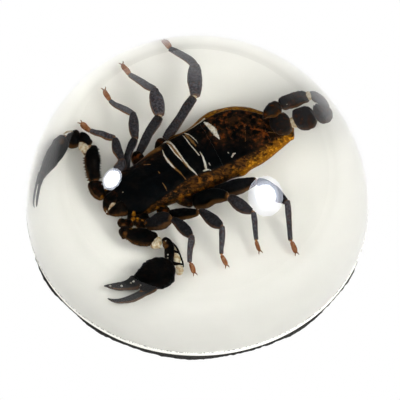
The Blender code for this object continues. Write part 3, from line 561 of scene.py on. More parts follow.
class Batch:
    """Closed surfaces gathered into one mesh, with a painted value at each of their points."""

    def __init__(self, *marks):
        self.points = []
        self.faces = []
        self.marks = {name: [] for name in marks}
        self.count = 0

    def add(self, grid, **marks):
        """Add a surface from rings of points: quads between the rings and a pole at each end."""
        rows, columns = grid.shape[:2]
        points = np.vstack([grid[:1].mean(axis=1), grid.reshape(-1, 3),
                            grid[-1:].mean(axis=1)])
        ring = np.arange(columns)
        after = np.roll(ring, -1)
        start = 1 + np.arange(rows - 1)[:, None] * columns
        quads = np.stack([start + ring, start + after, start + columns + after,
                          start + columns + ring], axis=-1).reshape(-1, 4)
        last = 1 + (rows - 1) * columns
        pole = np.full(columns, last + columns)
        triangles = np.vstack([np.stack([0 * ring, 1 + after, 1 + ring], axis=-1),
                               np.stack([pole, last + ring, last + after], axis=-1)])
        a, b, c, d = points[quads].transpose(1, 0, 2)
        volume = (a * np.cross(b, c)).sum() + (a * np.cross(c, d)).sum()
        a, b, c = points[triangles].transpose(1, 0, 2)
        volume += (a * np.cross(b, c)).sum()
        if volume < 0:
            quads, triangles = quads[:, ::-1], triangles[:, ::-1]
        self.faces += (quads + self.count).tolist() + (triangles + self.count).tolist()
        self.points.append(points)
        for name, values in self.marks.items():
            value = np.broadcast_to(marks.get(name, 0.0), (rows, columns))
            values.append(np.concatenate([value[:1].mean(axis=1), value.ravel(),
                                          value[-1:].mean(axis=1)]))
        self.count += len(points)

    def paint(self, patches):
        """Raise the painted values at every point whose plan place lies in a patch."""
        plan = np.vstack(self.points)[:, :2]
        for name, spots in patches.items():
            values = np.concatenate(self.marks[name])
            for x, y, size, strength in spots:
                away = np.hypot(plan[:, 0] - x, plan[:, 1] - y)
                values = np.maximum(values, strength * ramp(-away, -size, -PATCH_CORE * size))
            self.marks[name] = [values]

    def build(self, name, finish, slot, *nodes, sharp=55.0):
        """Make the object, and hide the nodes of the model that it stands for."""
        mesh = bpy.data.meshes.new(name)
        mesh.from_pydata((np.vstack(self.points) * MM).tolist(), [], self.faces)
        for mark, values in self.marks.items():
            layer = mesh.attributes.new(mark, "FLOAT", "POINT")
            layer.data.foreach_set("value", np.concatenate(values).astype(np.float32))
        mesh.polygons.foreach_set("use_smooth", np.ones(len(mesh.polygons), dtype=bool))
        mesh.set_sharp_from_angle(angle=math.radians(sharp))
        mesh.materials.append(finish)
        mesh.update()
        piece = bpy.data.objects.new(name, mesh)
        bpy.context.scene.collection.objects.link(piece)
        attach(piece, "root")
        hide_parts(*nodes)
        return piece


def swept(rings, along=28, around=20, flat=0.95, square=2.2, blunt=0.5, keels=(), tip=0.5,
          rough=0.0, reach=0.0):
    """A limb part: oval rings carried along a smooth path through the given places.

    At share u of the path and turn a, the point is the path's own point plus half the width
    times cos(a) sideways and flat times half the width times sin(a) upwards, with the cosine
    and sine raised to 2 / square. Both shrink like a quarter circle over blunt times the first
    width and tip times the last. The rings crowd towards both ends. A keel at turn k stands out
    by its height where a is near k. Roughness is a share of the half width, and reach is how far
    the part runs past its first and last place. With the grid come each point's distance from
    the nearer end, its turn and its share of the length.
    """
    rings = np.array(rings, dtype=float)
    for end, inner in ((0, 1), (-1, -2)):
        rings[end, :3] += unit(rings[end, :3] - rings[inner, :3]) * reach
    steps = np.linalg.norm(np.diff(rings[:, :3], axis=0), axis=1)
    stations = np.concatenate([[0.0], np.cumsum(steps)])
    length = stations[-1]
    even = np.linspace(0, 1, along)
    at = length * (EVEN_SHARE * even + CROWDED_SHARE * (1 - np.cos(math.pi * even)) / 2)
    values = spline(np.column_stack([stations, rings]), at)
    path = values[:, :3] + np.array((0.0, 0.0, WHITE_TOP_Z))
    forward = unit(np.gradient(path, at, axis=0))
    side = unit(np.cross(forward, (0.0, 0.0, 1.0)))
    upright = np.cross(side, forward)
    opening = (closing(at, blunt * rings[0, 3], LEAST_RING)
               * closing(length - at, tip * rings[-1, 3], LEAST_RING))
    half = np.maximum(values[:, 3], LEAST_WIDTH) / 2 * opening
    turn = np.arange(around) * TAU / around
    ridge = np.ones((along, around))
    middle = np.clip(np.sin(math.pi * at / length) * KEEL_RISE, 0, 1)[:, None]
    for keel, height, breadth in keels:
        ridge = ridge + height * middle * np.exp(-(turned_from(turn, keel) / breadth) ** 2)
    places = np.stack([at[:, None] + 0 * turn, values[:, 3:4] / 2 * np.cos(turn),
                       values[:, 3:4] / 2 * np.sin(turn)], axis=-1)
    ridge = ridge + rough * ripple(places, LIMB_RIPPLE, int(abs(rings[0, 0]) * 10)) * middle
    sideways, upwards = oval(turn, square)
    spread = half[:, None] * ridge
    grid = (path[:, None] + side[:, None] * (spread * sideways)[..., None]
            + upright[:, None] * (spread * (upwards * flat))[..., None])
    from_ends = np.minimum(at, length - at)[:, None] + 0 * turn
    return grid, from_ends, turn + 0 * at[:, None], (at / length)[:, None] + 0 * turn


def revolved(profile, around, wave=0.0):
    """A surface of revolution about the upright axis: ring r, z of the profile at every turn."""
    profile = np.asarray(profile)
    turn = np.arange(around) * TAU / around
    radius = profile[:, :1] * (1 + wave)
    height = profile[:, 1:] + 0 * turn
    return np.stack([radius * np.cos(turn), radius * np.sin(turn), height], axis=-1)


class Value:
    """A shader output that Python's own arithmetic can be done with."""

    def __init__(self, finish, socket):
        self.finish = finish
        self.socket = socket

    def __add__(self, other):
        return self.finish.maths("ADD", self, other)

    def __sub__(self, other):
        return self.finish.maths("SUBTRACT", self, other)

    def __mul__(self, other):
        return self.finish.maths("MULTIPLY", self, other)

    def __rsub__(self, other):
        return self.finish.maths("SUBTRACT", other, self)

    __radd__ = __add__
    __rmul__ = __mul__


class Finish:
    """A material whose nodes are all made by one method."""

    def __init__(self, name):
        self.material = bpy.data.materials.new(name)
        self.material.use_nodes = True
        self.tree = self.material.node_tree
        self.tree.nodes.clear()

    def node(self, kind, settings, sockets, out=0):
        """Make a node, set it up, fill its sockets, and give one of its outputs."""
        node = self.tree.nodes.new("ShaderNode" + kind)
        for name, setting in settings.items():
            setattr(node, name, setting)
        for name, content in sockets.items():
            if isinstance(content, Value):
                self.tree.links.new(content.socket, node.inputs[name])
            else:
                node.inputs[name].default_value = content
        return Value(self, node.outputs[out])

    def maths(self, operation, first, second):
        """One step of arithmetic."""
        return self.node("Math", {"operation": operation}, {0: first, 1: second})

    def place(self):
        """The piece's own coordinates."""
        return self.node("TexCoord", {}, {}, "Object")

    def reach(self, axes):
        """The distance from the origin, counted along the axes that are 1."""
        where = self.node("VectorMath", {"operation": "MULTIPLY"}, {0: self.place(), 1: axes})
        return self.node("VectorMath", {"operation": "LENGTH"}, {0: where}, "Value")

    def mark(self, name):
        """A value painted on the mesh."""
        return self.node("Attribute", {"attribute_name": name}, {}, "Fac")

    def noise(self, size, detail=3.0, roughness=0.55, stretch=None):
        """Soft noise of about 0 to 1 whose patches are a given size in millimetres."""
        where = self.place()
        if stretch:
            where = self.node("Mapping", {}, {"Vector": where, "Scale": stretch}, "Vector")
        return self.node("TexNoise", {}, {"Vector": where, "Scale": 1 / (size * MM),
                                          "Detail": detail, "Roughness": roughness}, "Fac")

    def step(self, value, low, high):
        """0 below low, 1 above high and a smooth S between them."""
        return self.node("MapRange", {"interpolation_type": "SMOOTHSTEP"},
                         {"Value": value, "From Min": low, "From Max": high}, "Result")

    def blend(self, share, first, second):
        """Mix two colours, each a shader output or three linear values."""
        first, second = (tone if isinstance(tone, Value) else (*tone, 1.0)
                         for tone in (first, second))
        return self.node("Mix", {"data_type": "RGBA"}, {0: share, 6: first, 7: second}, 2)

    def bump(self, height, distance):
        """A normal that leans with a height, whose full size is given in millimetres."""
        return self.node("Bump", {}, {"Height": height, "Distance": distance * MM}, "Normal")

    def surface(self, sockets):
        """End the tree with a Principled shader."""
        shader = self.node("BsdfPrincipled", {}, sockets, "BSDF")
        output = self.tree.nodes.new("ShaderNodeOutputMaterial")
        self.tree.links.new(shader.socket, output.inputs["Surface"])
        return output


def length_setting(name, description, default):
    """A length that a user can change."""
    return bpy.props.FloatProperty(name=name, description=description, default=default,
                                   unit="LENGTH")


def number_setting(name, description, default):
    """A plain number that a user can change."""
    return bpy.props.FloatProperty(name=name, description=description, default=default)


def colour_setting(name, description, default):
    """A colour that a user can change."""
    return bpy.props.FloatVectorProperty(name=name, description=description, default=default,
                                         subtype="COLOR", min=0.0, max=1.0)


class BaseSettings(bpy.types.PropertyGroup):
    """Sizes and colours of the white layer and the felt pad."""
    felt_radius: length_setting("Felt radius", "Mean radius of the felt pad", FELT_RADIUS * MM)
    felt_colour: colour_setting("Felt colour", "Colour of the felt pad", (0.012, 0.012, 0.012))
    white_colour: colour_setting(
        "White colour", "Colour of the white resin layer", (0.93, 0.92, 0.85))


class DomeSettings(bpy.types.PropertyGroup):
    """Size and optics of the clear half ball."""
    radius: length_setting(
        "Radius", "Radius of the clear half ball", (BALL_RADIUS - BALL_SHRINK) * MM)
    ior: number_setting("IOR", "Refractive index of the clear resin", 1.52)
    tint: colour_setting("Tint", "Colour that the resin lets through best", (0.985, 0.98, 0.94))
    density: number_setting("Density", "Absorption in each metre of resin", 9.0)


class ScorpionSettings(bpy.types.PropertyGroup):
    """Colours of the dried scorpion."""
    shell_colour: colour_setting(
        "Shell", "Colour of the back and the claws", (0.0006, 0.0013, 0.0016))
    leg_colour: colour_setting("Legs", "Colour of the legs", (0.066, 0.064, 0.072))
    amber_colour: colour_setting(
        "Edges", "Colour of the thin edges of the shell", (0.26, 0.11, 0.025))
    skin_colour: colour_setting(
        "Side skin", "Colour of the skin at the sides of the body", (0.075, 0.028, 0.003))
    # Also the colour of the painted glints on the shell
    film_colour: colour_setting(
        "Films", "Colour of the pale films between the plates", (0.52, 0.51, 0.45))
    foot_colour: colour_setting("Feet", "Colour of the feet", (0.24, 0.072, 0.018))


class StudioSettings(bpy.types.PropertyGroup):
    """Brightness of the lamps and the surroundings."""
    sky: number_setting("Surroundings", "Brightness of the surroundings", 0.32)
    key: number_setting("Main lamp", "Brightness of the lamp at the right", 49.0)
    side: number_setting("Second lamp", "Brightness of the lamp at the left", 12.0)
    floor: number_setting("Floor", "Brightness of the white floor", 1.0)
    wall: number_setting("Wall", "Brightness of the white wall behind", 1.0)


def swing(noise, size):
    """Noise about 0 instead of 0.5, that swings by the given size."""
    return (noise - 0.5) * size


def shell_finish(settings):
    """The scorpion's shell: near-black, and the painted layers over it from the lowest up."""
    shell = Finish("dried_shell")
    blend, step, mark, noise = shell.blend, shell.step, shell.mark, shell.noise
    coarse = noise(1.6)
    broad = noise(0.9, 4.0, 0.6)
    medium = noise(0.5, 5.0, 0.65)
    fine = noise(0.17, 3.0, 0.7)
    fibre = noise(0.45, 6.0, 0.68, (0.6, 1.3, 1.0))
    grain = noise(0.32, 3.0, 0.75)
    dark, pale = ([level * value for value in settings.leg_colour] for level in (0.45, 1.35))
    leg = blend(step(grain, 0.42, 0.6), dark, pale)
    leg = blend(step(medium, 0.52, 0.66) * 0.6, leg, LEG_BROWN)
    skin = blend(step(fibre + swing(coarse, 0.6), 0.4, 0.66), SKIN_DARK, settings.skin_colour)
    skin = blend(step(broad + swing(fine, 0.4), 0.55, 0.68) * 0.8, skin, SKIN_ORANGE)
    layers = (
        (mark("leg"), leg),
        # A painted reflection of the ball's surface: pale grey over far legs and the tail
        (mark("veil") * (0.6 + 0.4 * medium), REFLECTION_GREY),
        (mark("rust") * step(broad + swing(coarse, 0.6), 0.36, 0.62), RUST),
        (mark("rust") * step(broad + swing(medium, 0.8), 0.52, 0.74) * 0.6, EMBER),
        (shell.maths("MINIMUM", mark("amber") * (0.2 + 1.2 * medium), 1.0),
         settings.amber_colour),
        (mark("skin"), skin),
        (step(mark("gold") + swing(broad, 1.2) + (fibre - 0.5), 0.4, 1.0),
         blend(step(medium, 0.46, 0.7), GOLD_DARK, GOLD_BRIGHT)),
        (mark("foot"), blend(step(medium, 0.35, 0.7), settings.foot_colour, FOOT_PALE)),
        (step(mark("tan") + swing(medium, 0.9) + swing(fine, 0.3), 0.4, 0.8) * 0.8, TAN),
        # Pale films between the plates, and the painted glints of the patches
        (step(mark("film") + swing(medium, 1.1) + swing(fine, 0.8), 0.45, 0.68),
         blend(step(medium + swing(coarse, 0.6), 0.42, 0.66), settings.film_colour, FILM_BUFF)),
    )
    base = blend(step(coarse + swing(medium, 0.5), 0.45, 0.75), settings.shell_colour,
                 SHELL_BROWN)
    for share, tone in layers:
        base = blend(share, base, tone)
    shell.surface({"Base Color": base, "Roughness": 0.33, "Specular IOR Level": 0.02,
                   "Normal": shell.bump(medium + fine * 0.6, 0.1)})
    return shell.material


def skin_finish():
    """The folded skin of the joints: cream, and orange where that is painted."""
    skin = Finish("joint_skin")
    medium = skin.noise(0.5, 4.0)
    fold = skin.noise(0.35, 3.0, 0.6, (0.4, 1.6, 1.0))
    cream = skin.blend(skin.step(medium, 0.35, 0.65), CREAM, CREAM_SHADE)
    orange = skin.blend(skin.step(fold, 0.35, 0.65), ORANGE, ORANGE_SHADE)
    share = skin.step(skin.mark("orange") + swing(medium, 0.8), 0.3, 0.7)
    skin.surface({"Base Color": skin.blend(share, cream, orange), "Roughness": 0.5,
                  "Specular IOR Level": 0.08, "Normal": skin.bump(fold, 0.1)})
    return skin.material


def felt_edge():
    """How far the felt's edge stands out at each turn, as a share of its radius.

    Three long waves and seven shorter ones, random fluff whose neighbours are alike, and round
    swells at a few turns.
    """
    turn = np.arange(FELT_STEPS) * TAU / FELT_STEPS
    fluff = np.random.default_rng(4).normal(size=FELT_STEPS)
    fluff = (fluff + np.roll(fluff, 1) + 0.5 * np.roll(fluff, 2)) * FELT_FLUFF
    edge = 0.0022 * np.sin(3 * turn + 0.4) + 0.0016 * np.cos(7 * turn) + fluff
    for degrees, swell in FELT_SWELLS:
        away = turned_from(turn, math.radians(degrees))
        edge += swell * np.exp(-(away / FELT_SWELL_WIDTH) ** 2)
    return edge


class PAPERWEIGHT_OT_felt(bpy.types.Operator):
    """Add the black felt pad"""
    bl_idname = "paperweight.felt"
    bl_label = "Felt pad"

    def execute(self, context):
        settings = context.scene.paperweight_base
        radius = settings.felt_radius / MM
        top = WHITE_BOTTOM_Z
        profile = ((1.0, 0.0), (20.0, 0.0), (38.0, 0.0), (radius - 0.35, 0.02),
                   (radius - 0.1, 0.15), (radius, 0.4), (radius + 0.02, 0.75),
                   (radius - 0.05, 1.05), (radius - 0.3, top - 0.1), (radius - 0.9, top),
                   (20.0, top), (1.0, top))
        batch = Batch()
        batch.add(revolved(profile, FELT_STEPS, felt_edge()))
        felt = Finish("black_cloth")
        fibre = felt.noise(0.25, 4.0)
        shade = felt.blend(felt.step(fibre, 0.3, 0.75), settings.felt_colour, FELT_FIBRE)
        felt.surface({"Base Color": shade, "Roughness": 0.95, "Specular IOR Level": 0.1,
                      "Normal": felt.bump(fibre, 0.2)})
        batch.build("felt_disc", felt.material, "felt", "felt_pad")
        return {"FINISHED"}


class PAPERWEIGHT_OT_white(bpy.types.Operator):
    """Add the white resin layer under the half ball"""
    bl_idname = "paperweight.white"
    bl_label = "White layer"

    def execute(self, context):
        settings = context.scene.paperweight_base
        low = WHITE_BOTTOM_Z
        profile = ((1.0, low), (20.0, low), (39.5, low), (39.85, low + 0.06),
                   (39.97, low + 0.25), (39.99, 2.2), (39.98, 2.7), (39.95, 2.9), (39.86, 2.99),
                   (39.7, WHITE_TOP_Z), (36.0, WHITE_TOP_Z), (20.0, WHITE_TOP_Z),
                   (1.0, WHITE_TOP_Z))
        batch = Batch()
        batch.add(revolved(profile, WHITE_STEPS))
        white = Finish("cast_white")
        cloud = white.noise(9.0, 2.0)
        shade = white.blend(white.step(cloud, 0.3, 0.7), settings.white_colour,
                            [0.97 * value for value in settings.white_colour])
        height = white.node("SeparateXYZ", {}, {"Vector": white.place()}, "Z")
        rim = (white.step(height, *(MM * place for place in DIRT_HEIGHTS))
               * white.step(white.reach((1.0, 1.0, 0.0)), *(MM * place for place in DIRT_REACHES)))
        dirt = white.step(white.noise(0.5, 4.0, 0.7), 0.44, 0.6) * rim
        shade = white.blend(dirt * 0.85, shade, RIM_DIRT)
        white.surface({"Base Color": shade, "Roughness": 0.5, "Specular IOR Level": 0.0})
        batch.build("white_layer", white.material, "white_resin", "white_backing")
        return {"FINISHED"}


class PAPERWEIGHT_OT_dome(bpy.types.Operator):
    """Add the clear resin half ball"""
    bl_idname = "paperweight.dome"
    bl_label = "Clear half ball"

    def execute(self, context):
        settings = context.scene.paperweight_dome
        radius = settings.radius / MM
        rise = math.asin((DOME_BOTTOM_Z - BALL_CENTRE_Z) / radius)
        arcs = np.linspace(rise, math.pi / 2, DOME_RINGS)[:-1]
        profile = np.vstack([((1.0, DOME_BOTTOM_Z), (20.0, DOME_BOTTOM_Z)),
                             np.column_stack([radius * np.cos(arcs),
                                              BALL_CENTRE_Z + radius * np.sin(arcs)])])
        batch = Batch()
        batch.add(revolved(profile, DOME_STEPS))
        resin = Finish("cast_clear")
        output = resin.surface({"Base Color": (1.0, 1.0, 1.0, 1.0), "Roughness": 0.0,
                                "IOR": settings.ior, "Transmission Weight": 1.0})
        haze = resin.node("VolumeAbsorption", {}, {"Color": (*settings.tint, 1.0),
                                                   "Density": settings.density}, "Volume")
        resin.tree.links.new(haze.socket, output.inputs["Volume"])
        piece = batch.build("resin_dome", resin.material, "clear_resin",
                            "dome_lower", "dome_upper", sharp=30.0)
        piece.data.vertices[-1].co.z = (BALL_CENTRE_Z + radius) * MM
        return {"FINISHED"}


class ScorpionPart:
    """What every operator for a piece of the scorpion shares."""

    def build(self, context, batch, name):
        """Make one piece of the scorpion's shell, with the patches of colour on it."""
        batch.paint(PATCHES)
        finish = (bpy.data.materials.get("dried_shell")
                  or shell_finish(context.scene.paperweight_scorpion))
        batch.build(name, finish, "scorpion_shell", "scorpion")


def near_lines(where, lines):
    """How deep each place lies inside any of the lines, whose width changes along them.

    The value is 1 on a line, 0.5 at its edge and 0 at twice its half width or beyond.
    """
    best = np.zeros(where.shape[:-1])
    for line in lines:
        for start, end in zip(np.array(line[:-1]), np.array(line[1:])):
            run = end[:2] - start[:2]
            share = np.clip(((where - start[:2]) @ run) / (run @ run), 0, 1)
            away = np.linalg.norm(where - start[:2] - share[..., None] * run, axis=-1)
            half = (start[2] + share * (end[2] - start[2])) / 2
            best = np.maximum(best, np.clip(1 - away / (2 * half), 0, 1))
    return best


def body_surface():
    """The body with its head shield and back plates.

    At distance s from the head and turn a, the sideways place runs from the far edge at
    cos(a) = 1 to the near edge at cos(a) = -1, and the height from the belly to the back with
    sin(a). Each back plate rises by PLATE_RISE to its hind edge and then drops to the next.
    A groove runs along the middle of the head shield, and the eyes stand on a knob in it. With
    the grid come each point's distance from the head and its sideways place, and how far it
    lies on a plate and on the upper side.
    """
    folds = [np.array(PLATE_ENDS) + offset for offset in (0.0, 0.05, 0.1, 0.15)]
    s = np.unique(np.concatenate([np.linspace(*BODY_SPAN, BODY_RINGS), *folds]))[:, None]
    far, near, top, low, far_plate, near_plate = (
        line_at(line, s[:, 0])
        for line in (FAR_EDGE, NEAR_EDGE, BACK_TOP, BELLY, FAR_PLATE, NEAR_PLATE))
    ends = (closing(s - BODY_SPAN[0], FRONT_ROUNDING, LEAST_BODY_RING)
            * closing(BODY_SPAN[1] - s, REAR_ROUNDING, LEAST_BODY_RING))
    middle, half = (far + near) / 2, (far - near) / 2 * np.maximum(ends, 0.35)
    centre, tall = (top + low) / 2, (top - low) / 2 * ends
    cosine, sine = oval(np.arange(BODY_STEPS) * TAU / BODY_STEPS, BODY_SQUARE)
    t = middle + half * cosine
    upper = ramp(sine, 0.0, 0.12)[None]
    plate = ramp(np.minimum(far_plate - t, t - near_plate), -0.1, 0.12) * upper
    edges = np.array((0.0, *PLATE_ENDS, BODY_SPAN[1] + 0.8))
    which = np.clip(np.searchsorted(edges, s, side="left") - 1, 0, len(edges) - 2)
    along = (s - edges[which]) / (edges[which + 1] - edges[which])
    rise = PLATE_RISE * along ** 3 * (which > 0)
    rise += PLATE_RISE * (which == 0) * ramp(s, *SHIELD_END)
    groove = (GROOVE_DEPTH * np.exp(-((t - SHIELD_MIDDLE) / GROOVE_HALF_WIDTH) ** 2)
              * between(s, (3.0, 4.5), (11.6, 12.6)))
    eyes = EYES_HEIGHT * np.exp(-((s - EYES_AT) / EYES_HALF_LENGTH) ** 2
                                - ((t - SHIELD_MIDDLE) / EYES_HALF_WIDTH) ** 2)
    lift = plate * (rise + PLATE_LIP) - groove * upper + eyes * upper
    z = centre + tall * sine * (1 + lift / np.maximum(tall, 0.5))
    wide = middle + half * cosine * (1 + 0.3 * lift / half)
    level = s + 0 * t
    flat = HEAD_AT + level[..., None] * ALONG + wide[..., None] * ACROSS
    rough = sum(ripple(np.stack([level, t], axis=-1), size, seed) * height
                for size, seed, height in BODY_RIPPLES)
    grid = np.concatenate([flat, (z + WHITE_TOP_Z + rough * upper)[..., None]], axis=-1)
    return grid, np.stack([level, wide], axis=-1), plate, upper


class PAPERWEIGHT_OT_body(ScorpionPart, bpy.types.Operator):
    """Add the scorpion's body: head shield, back plates and the skin at its sides"""
    bl_idname = "paperweight.body"
    bl_label = "Body"

    def execute(self, context):
        grid, where, plate, upper = body_surface()
        s, t = where[..., 0], where[..., 1]
        inward = t - line_at(NEAR_EDGE, s[:, 0])
        rear = between(s, (17.0, 26.0), (31.5, 33.0))
        near_band = (0.2 + 0.6 * rear) * ramp(s, 4.0, 8.0) * (1 - ramp(inward, 0.2, 2.3))
        near_rim = 1.5 * ramp(s, 20.0, 24.0) * (1 - ramp(inward, 0.1, 0.45))
        far_fringe = ((1 - plate) * ramp(t, 2.0, 3.0) * ramp(s, 13.0, 16.0)
                      * (1 - ramp(s, 29.0, 31.0)))
        far_rust = ramp(s, 17.5, 21.5) * ramp(t, -1.5, 2.5)
        head_rust = 0.5 * (1 - ramp(s, 10.5, 12.5)) * ramp(t, 2.4, 4.2)
        side_amber = between(s, (7.0, 8.5), (12.0, 12.8)) * ramp(t, 4.1, 4.9) * 0.8
        batch = Batch(*MARKS)
        batch.add(grid, film=near_lines(where, FILMS) * upper,
                  tan=np.maximum(near_lines(where, TAN_FILMS), 0.4 * far_fringe) * upper,
                  gold=np.maximum.reduce([near_band, near_rim, 0.8 * far_fringe]),
                  rust=np.maximum.reduce([far_rust, ramp(s, 23.5, 27.5), head_rust]) * upper,
                  amber=np.maximum(side_amber, ramp(s, 31.2, 32.4) * 0.7),
                  skin=(1 - plate) * ramp(s, 3.0, 5.0))
        self.build(context, batch, "scorpion_body")
        return {"FINISHED"}


def add_part(batch, rings, ends=0.0, rim=0.0, run=0.35, amber=0.0, **options):
    """Add a limb part with brown ends and a thin brown edge along each side.

    The edge on the right of the way from its root to its tip is the fainter one: the stronger left
    edge is partly a painted colour fringe of light split by the resin.
    """
    marks = {name: options.pop(name) for name in tuple(options) if name in MARKS}
    grid, from_ends, turn, _ = swept(rings, **{"rough": 0.03, **options})
    # Thin brown edges on both sides; the stronger left one is partly a painted colour fringe of
    # the resin's refraction
    edges = np.maximum(ramp(-np.cos(turn), 0.86, 0.99), 0.35 * ramp(np.cos(turn), 0.88, 0.99))
    brown = np.maximum(ends * (1 - ramp(from_ends, 0.0, run)), rim * edges)
    batch.add(grid, amber=np.maximum(brown, amber), **marks)
    return grid


def add_spines(batch, grid, turns, shares, length, width, **marks):
    """Add small cones that stand on a limb part's surface at given turns and shares."""
    rows, columns = grid.shape[:2]
    around = np.arange(SPINE_STEPS) * TAU / SPINE_STEPS
    levels, radii = np.array(SPINE).T[..., None, None]
    for turn, share in zip(np.broadcast_to(turns, len(shares)), shares):
        row = int(round(share * (rows - 1)))
        foot = grid[row, int(round(turn / TAU * columns)) % columns]
        outward = unit(foot - grid[row].mean(axis=0))
        side = unit(np.cross(outward, (0.0, 0.0, 1.0)) + np.array((1e-6, 0.0, 0.0)))
        other = np.cross(outward, side)
        ring = np.cos(around)[:, None] * side + np.sin(around)[:, None] * other
        batch.add(foot + levels * length * outward + width * radii * ring, **marks)


class PAPERWEIGHT_OT_head(ScorpionPart, bpy.types.Operator):
    """Add the scorpion's jaws"""
    bl_idname = "paperweight.head"
    bl_label = "Jaws"

    def execute(self, context):
        batch = Batch(*MARKS)
        for rings in CHELICERAE:
            add_part(batch, rings, ends=0.25, rim=0.3, along=32, around=28, square=2.4, rust=0.3,
                     rough=0.06)
        for rings in CHELICERA_FINGERS:
            add_part(batch, rings, along=18, around=14, amber=0.5)
        self.build(context, batch, "scorpion_jaws")
        return {"FINISHED"}


class PAPERWEIGHT_OT_claws(ScorpionPart, bpy.types.Operator):
    """Add the two arms with their claws"""
    bl_idname = "paperweight.claws"
    bl_label = "Claws"

    def execute(self, context):
        self.arm(context, "left_claw", LEFT_ARM, 0.85, math.pi)
        self.arm(context, "right_claw", RIGHT_ARM, 0.55, 0.0)
        return {"FINISHED"}

    def arm(self, context, piece, arm, palm_flat, outer):
        """One arm, whose palm has its own flatness and whose outer edge lies at a turn."""
        batch = Batch(*MARKS)
        for name, rings in arm.items():
            thin, lumpy = name in THIN_PARTS, name in LUMPY_PARTS
            grid = add_part(batch, rings, along=ARM_RINGS.get(name, 34), around=12 if thin else 40,
                            flat={"palm": palm_flat, "femur": 0.85}.get(name, 0.95), square=2.5,
                            keels=ARM_KEELS if name in ARM_RINGS else (),
                            ends=0.0 if thin or "finger" in name else 0.3,
                            rim=0.0 if name == "palm" else 0.3, rust=0.3 if lumpy else 0.05,
                            rough=0.14 if lumpy else 0.05, blunt=0.35,
                            tip=0.12 if name == "palm" else 0.35)
            if name == "femur":
                shares = np.linspace(0.14, 0.86, 13)
                add_spines(batch, grid, outer, shares, 0.42, 0.18, amber=0.45)
                add_spines(batch, grid, math.pi - outer, shares, 0.28, 0.14)
            if name == "fixed_finger":
                add_spines(batch, grid, outer, np.linspace(0.2, 0.9, 12), 0.12, 0.08)
            if lumpy:
                add_spines(batch, grid, (2.6, 3.1, 3.6, 4.0), (0.2, 0.4, 0.6, 0.8), 0.45, 0.035,
                           amber=0.3)
        self.build(context, batch, piece)


class PAPERWEIGHT_OT_legs(ScorpionPart, bpy.types.Operator):
    """Add the eight legs"""
    bl_idname = "paperweight.legs"
    bl_label = "Legs"

    def execute(self, context):
        for name, (hip, *parts, foot) in LEGS.items():
            batch = Batch(*MARKS)
            add_part(batch, hip, ends=0.4, rim=0.3, rust=0.6, along=24, around=24, rough=0.08)
            for rings, grey, look in zip(parts, LEG_GREYS[name], LEG_LOOKS):
                add_part(batch, rings, leg=min(grey, 1.0), veil=max(grey - 1.0, 0.0), blunt=0.25,
                         tip=0.25, reach=0.25, run=0.3, **look)
            foot = [(x, y, height, width * wider)
                    for (x, y, height, width), wider in zip(foot, FOOT_WIDENING)]
            grid = add_part(batch, foot, along=24, around=18, foot=0.9, ends=0.3, tip=0.35)
            self.claws(batch, foot)
            add_spines(batch, grid, 4.2, np.linspace(0.15, 0.85, 6), 0.18, 0.035, foot=0.6)
            self.build(context, batch, name)
        return {"FINISHED"}

    def claws(self, batch, foot):
        """The two small curved claws at the end of a foot."""
        end = np.array(foot[-1])[:3]
        ahead = unit(end - np.array(foot[-2])[:3])
        side = np.array((-ahead[1], ahead[0], 0.0))
        for hand in (-1.0, 1.0):
            rings = [(*(end + ahead * forth + side * hand * out + (0.0, 0.0, up)), width)
                     for forth, out, up, width in FOOT_CLAW]
            add_part(batch, rings, along=10, around=8, foot=0.5, amber=0.6)


class PAPERWEIGHT_OT_tail(ScorpionPart, bpy.types.Operator):
    """Add the tail and its sting, folded back on itself"""
    bl_idname = "paperweight.tail"
    bl_label = "Tail"

    def execute(self, context):
        batch = Batch(*MARKS)
        for rings, veil, square in zip(TAIL, TAIL_REFLECTIONS, TAIL_SQUARES):
            grid = add_part(batch, rings, ends=0.55, rim=0.35, run=0.3, along=44, around=44,
                            flat=0.9, square=square, keels=TAIL_KEELS, veil=veil, rust=0.4,
                            rough=0.06, blunt=0.35, tip=0.35, reach=0.2)
            for turn in (TAIL_KEELS[0][0], TAIL_KEELS[1][0]):
                add_spines(batch, grid, turn, np.linspace(0.2, 0.85, 7), 0.09, 0.09)
        # A little painted reflection lies over the sting too
        add_part(batch, TELSON, along=48, around=32, flat=1.0, rust=1.0, veil=0.06, rim=0.4,
                 rough=0.06, tip=0.4)
        self.build(context, batch, "scorpion_tail")
        return {"FINISHED"}


def joint_rings(before, after, length=0.4, width=0.85):
    """Rings of the skin between two leg parts: its width is a share of the parts' own."""
    before, after = np.array(before), np.array(after)
    middle = (before[-1] + after[0]) / 2
    ahead = unit((after[1] - before[-2])[:3])
    across = width * min(before[-1, 3], after[0, 3])
    return [(*(middle[:3] + ahead * length * share), across * puff)
            for share, puff in JOINT_PUFFS]


class PAPERWEIGHT_OT_skins(bpy.types.Operator):
    """Add the folded pale skin in the joints"""
    bl_idname = "paperweight.skins"
    bl_label = "Joint skins"

    def execute(self, context):
        batch = Batch("orange")
        joints = [(orange, joint_rings(before, after))
                  for name, (_, *parts) in LEGS.items()
                  for before, after, orange in zip(parts, parts[1:],
                                                   JOINT_ORANGES[name.split("_")[0]])]
        for number, (orange, rings) in enumerate((*MEMBRANES, *joints)):
            grid, from_ends, turn, share = swept(rings, along=26, around=24, flat=0.85)
            centre = grid.mean(axis=1, keepdims=True)
            fold = 1 + 0.07 * np.sin(share * 26.0 + np.cos(turn + number)) * (from_ends > 0.05)
            batch.add(centre + (grid - centre) * fold[..., None], orange=orange)
        batch.build("joint_skins", skin_finish(), "scorpion_shell", "scorpion")
        return {"FINISHED"}


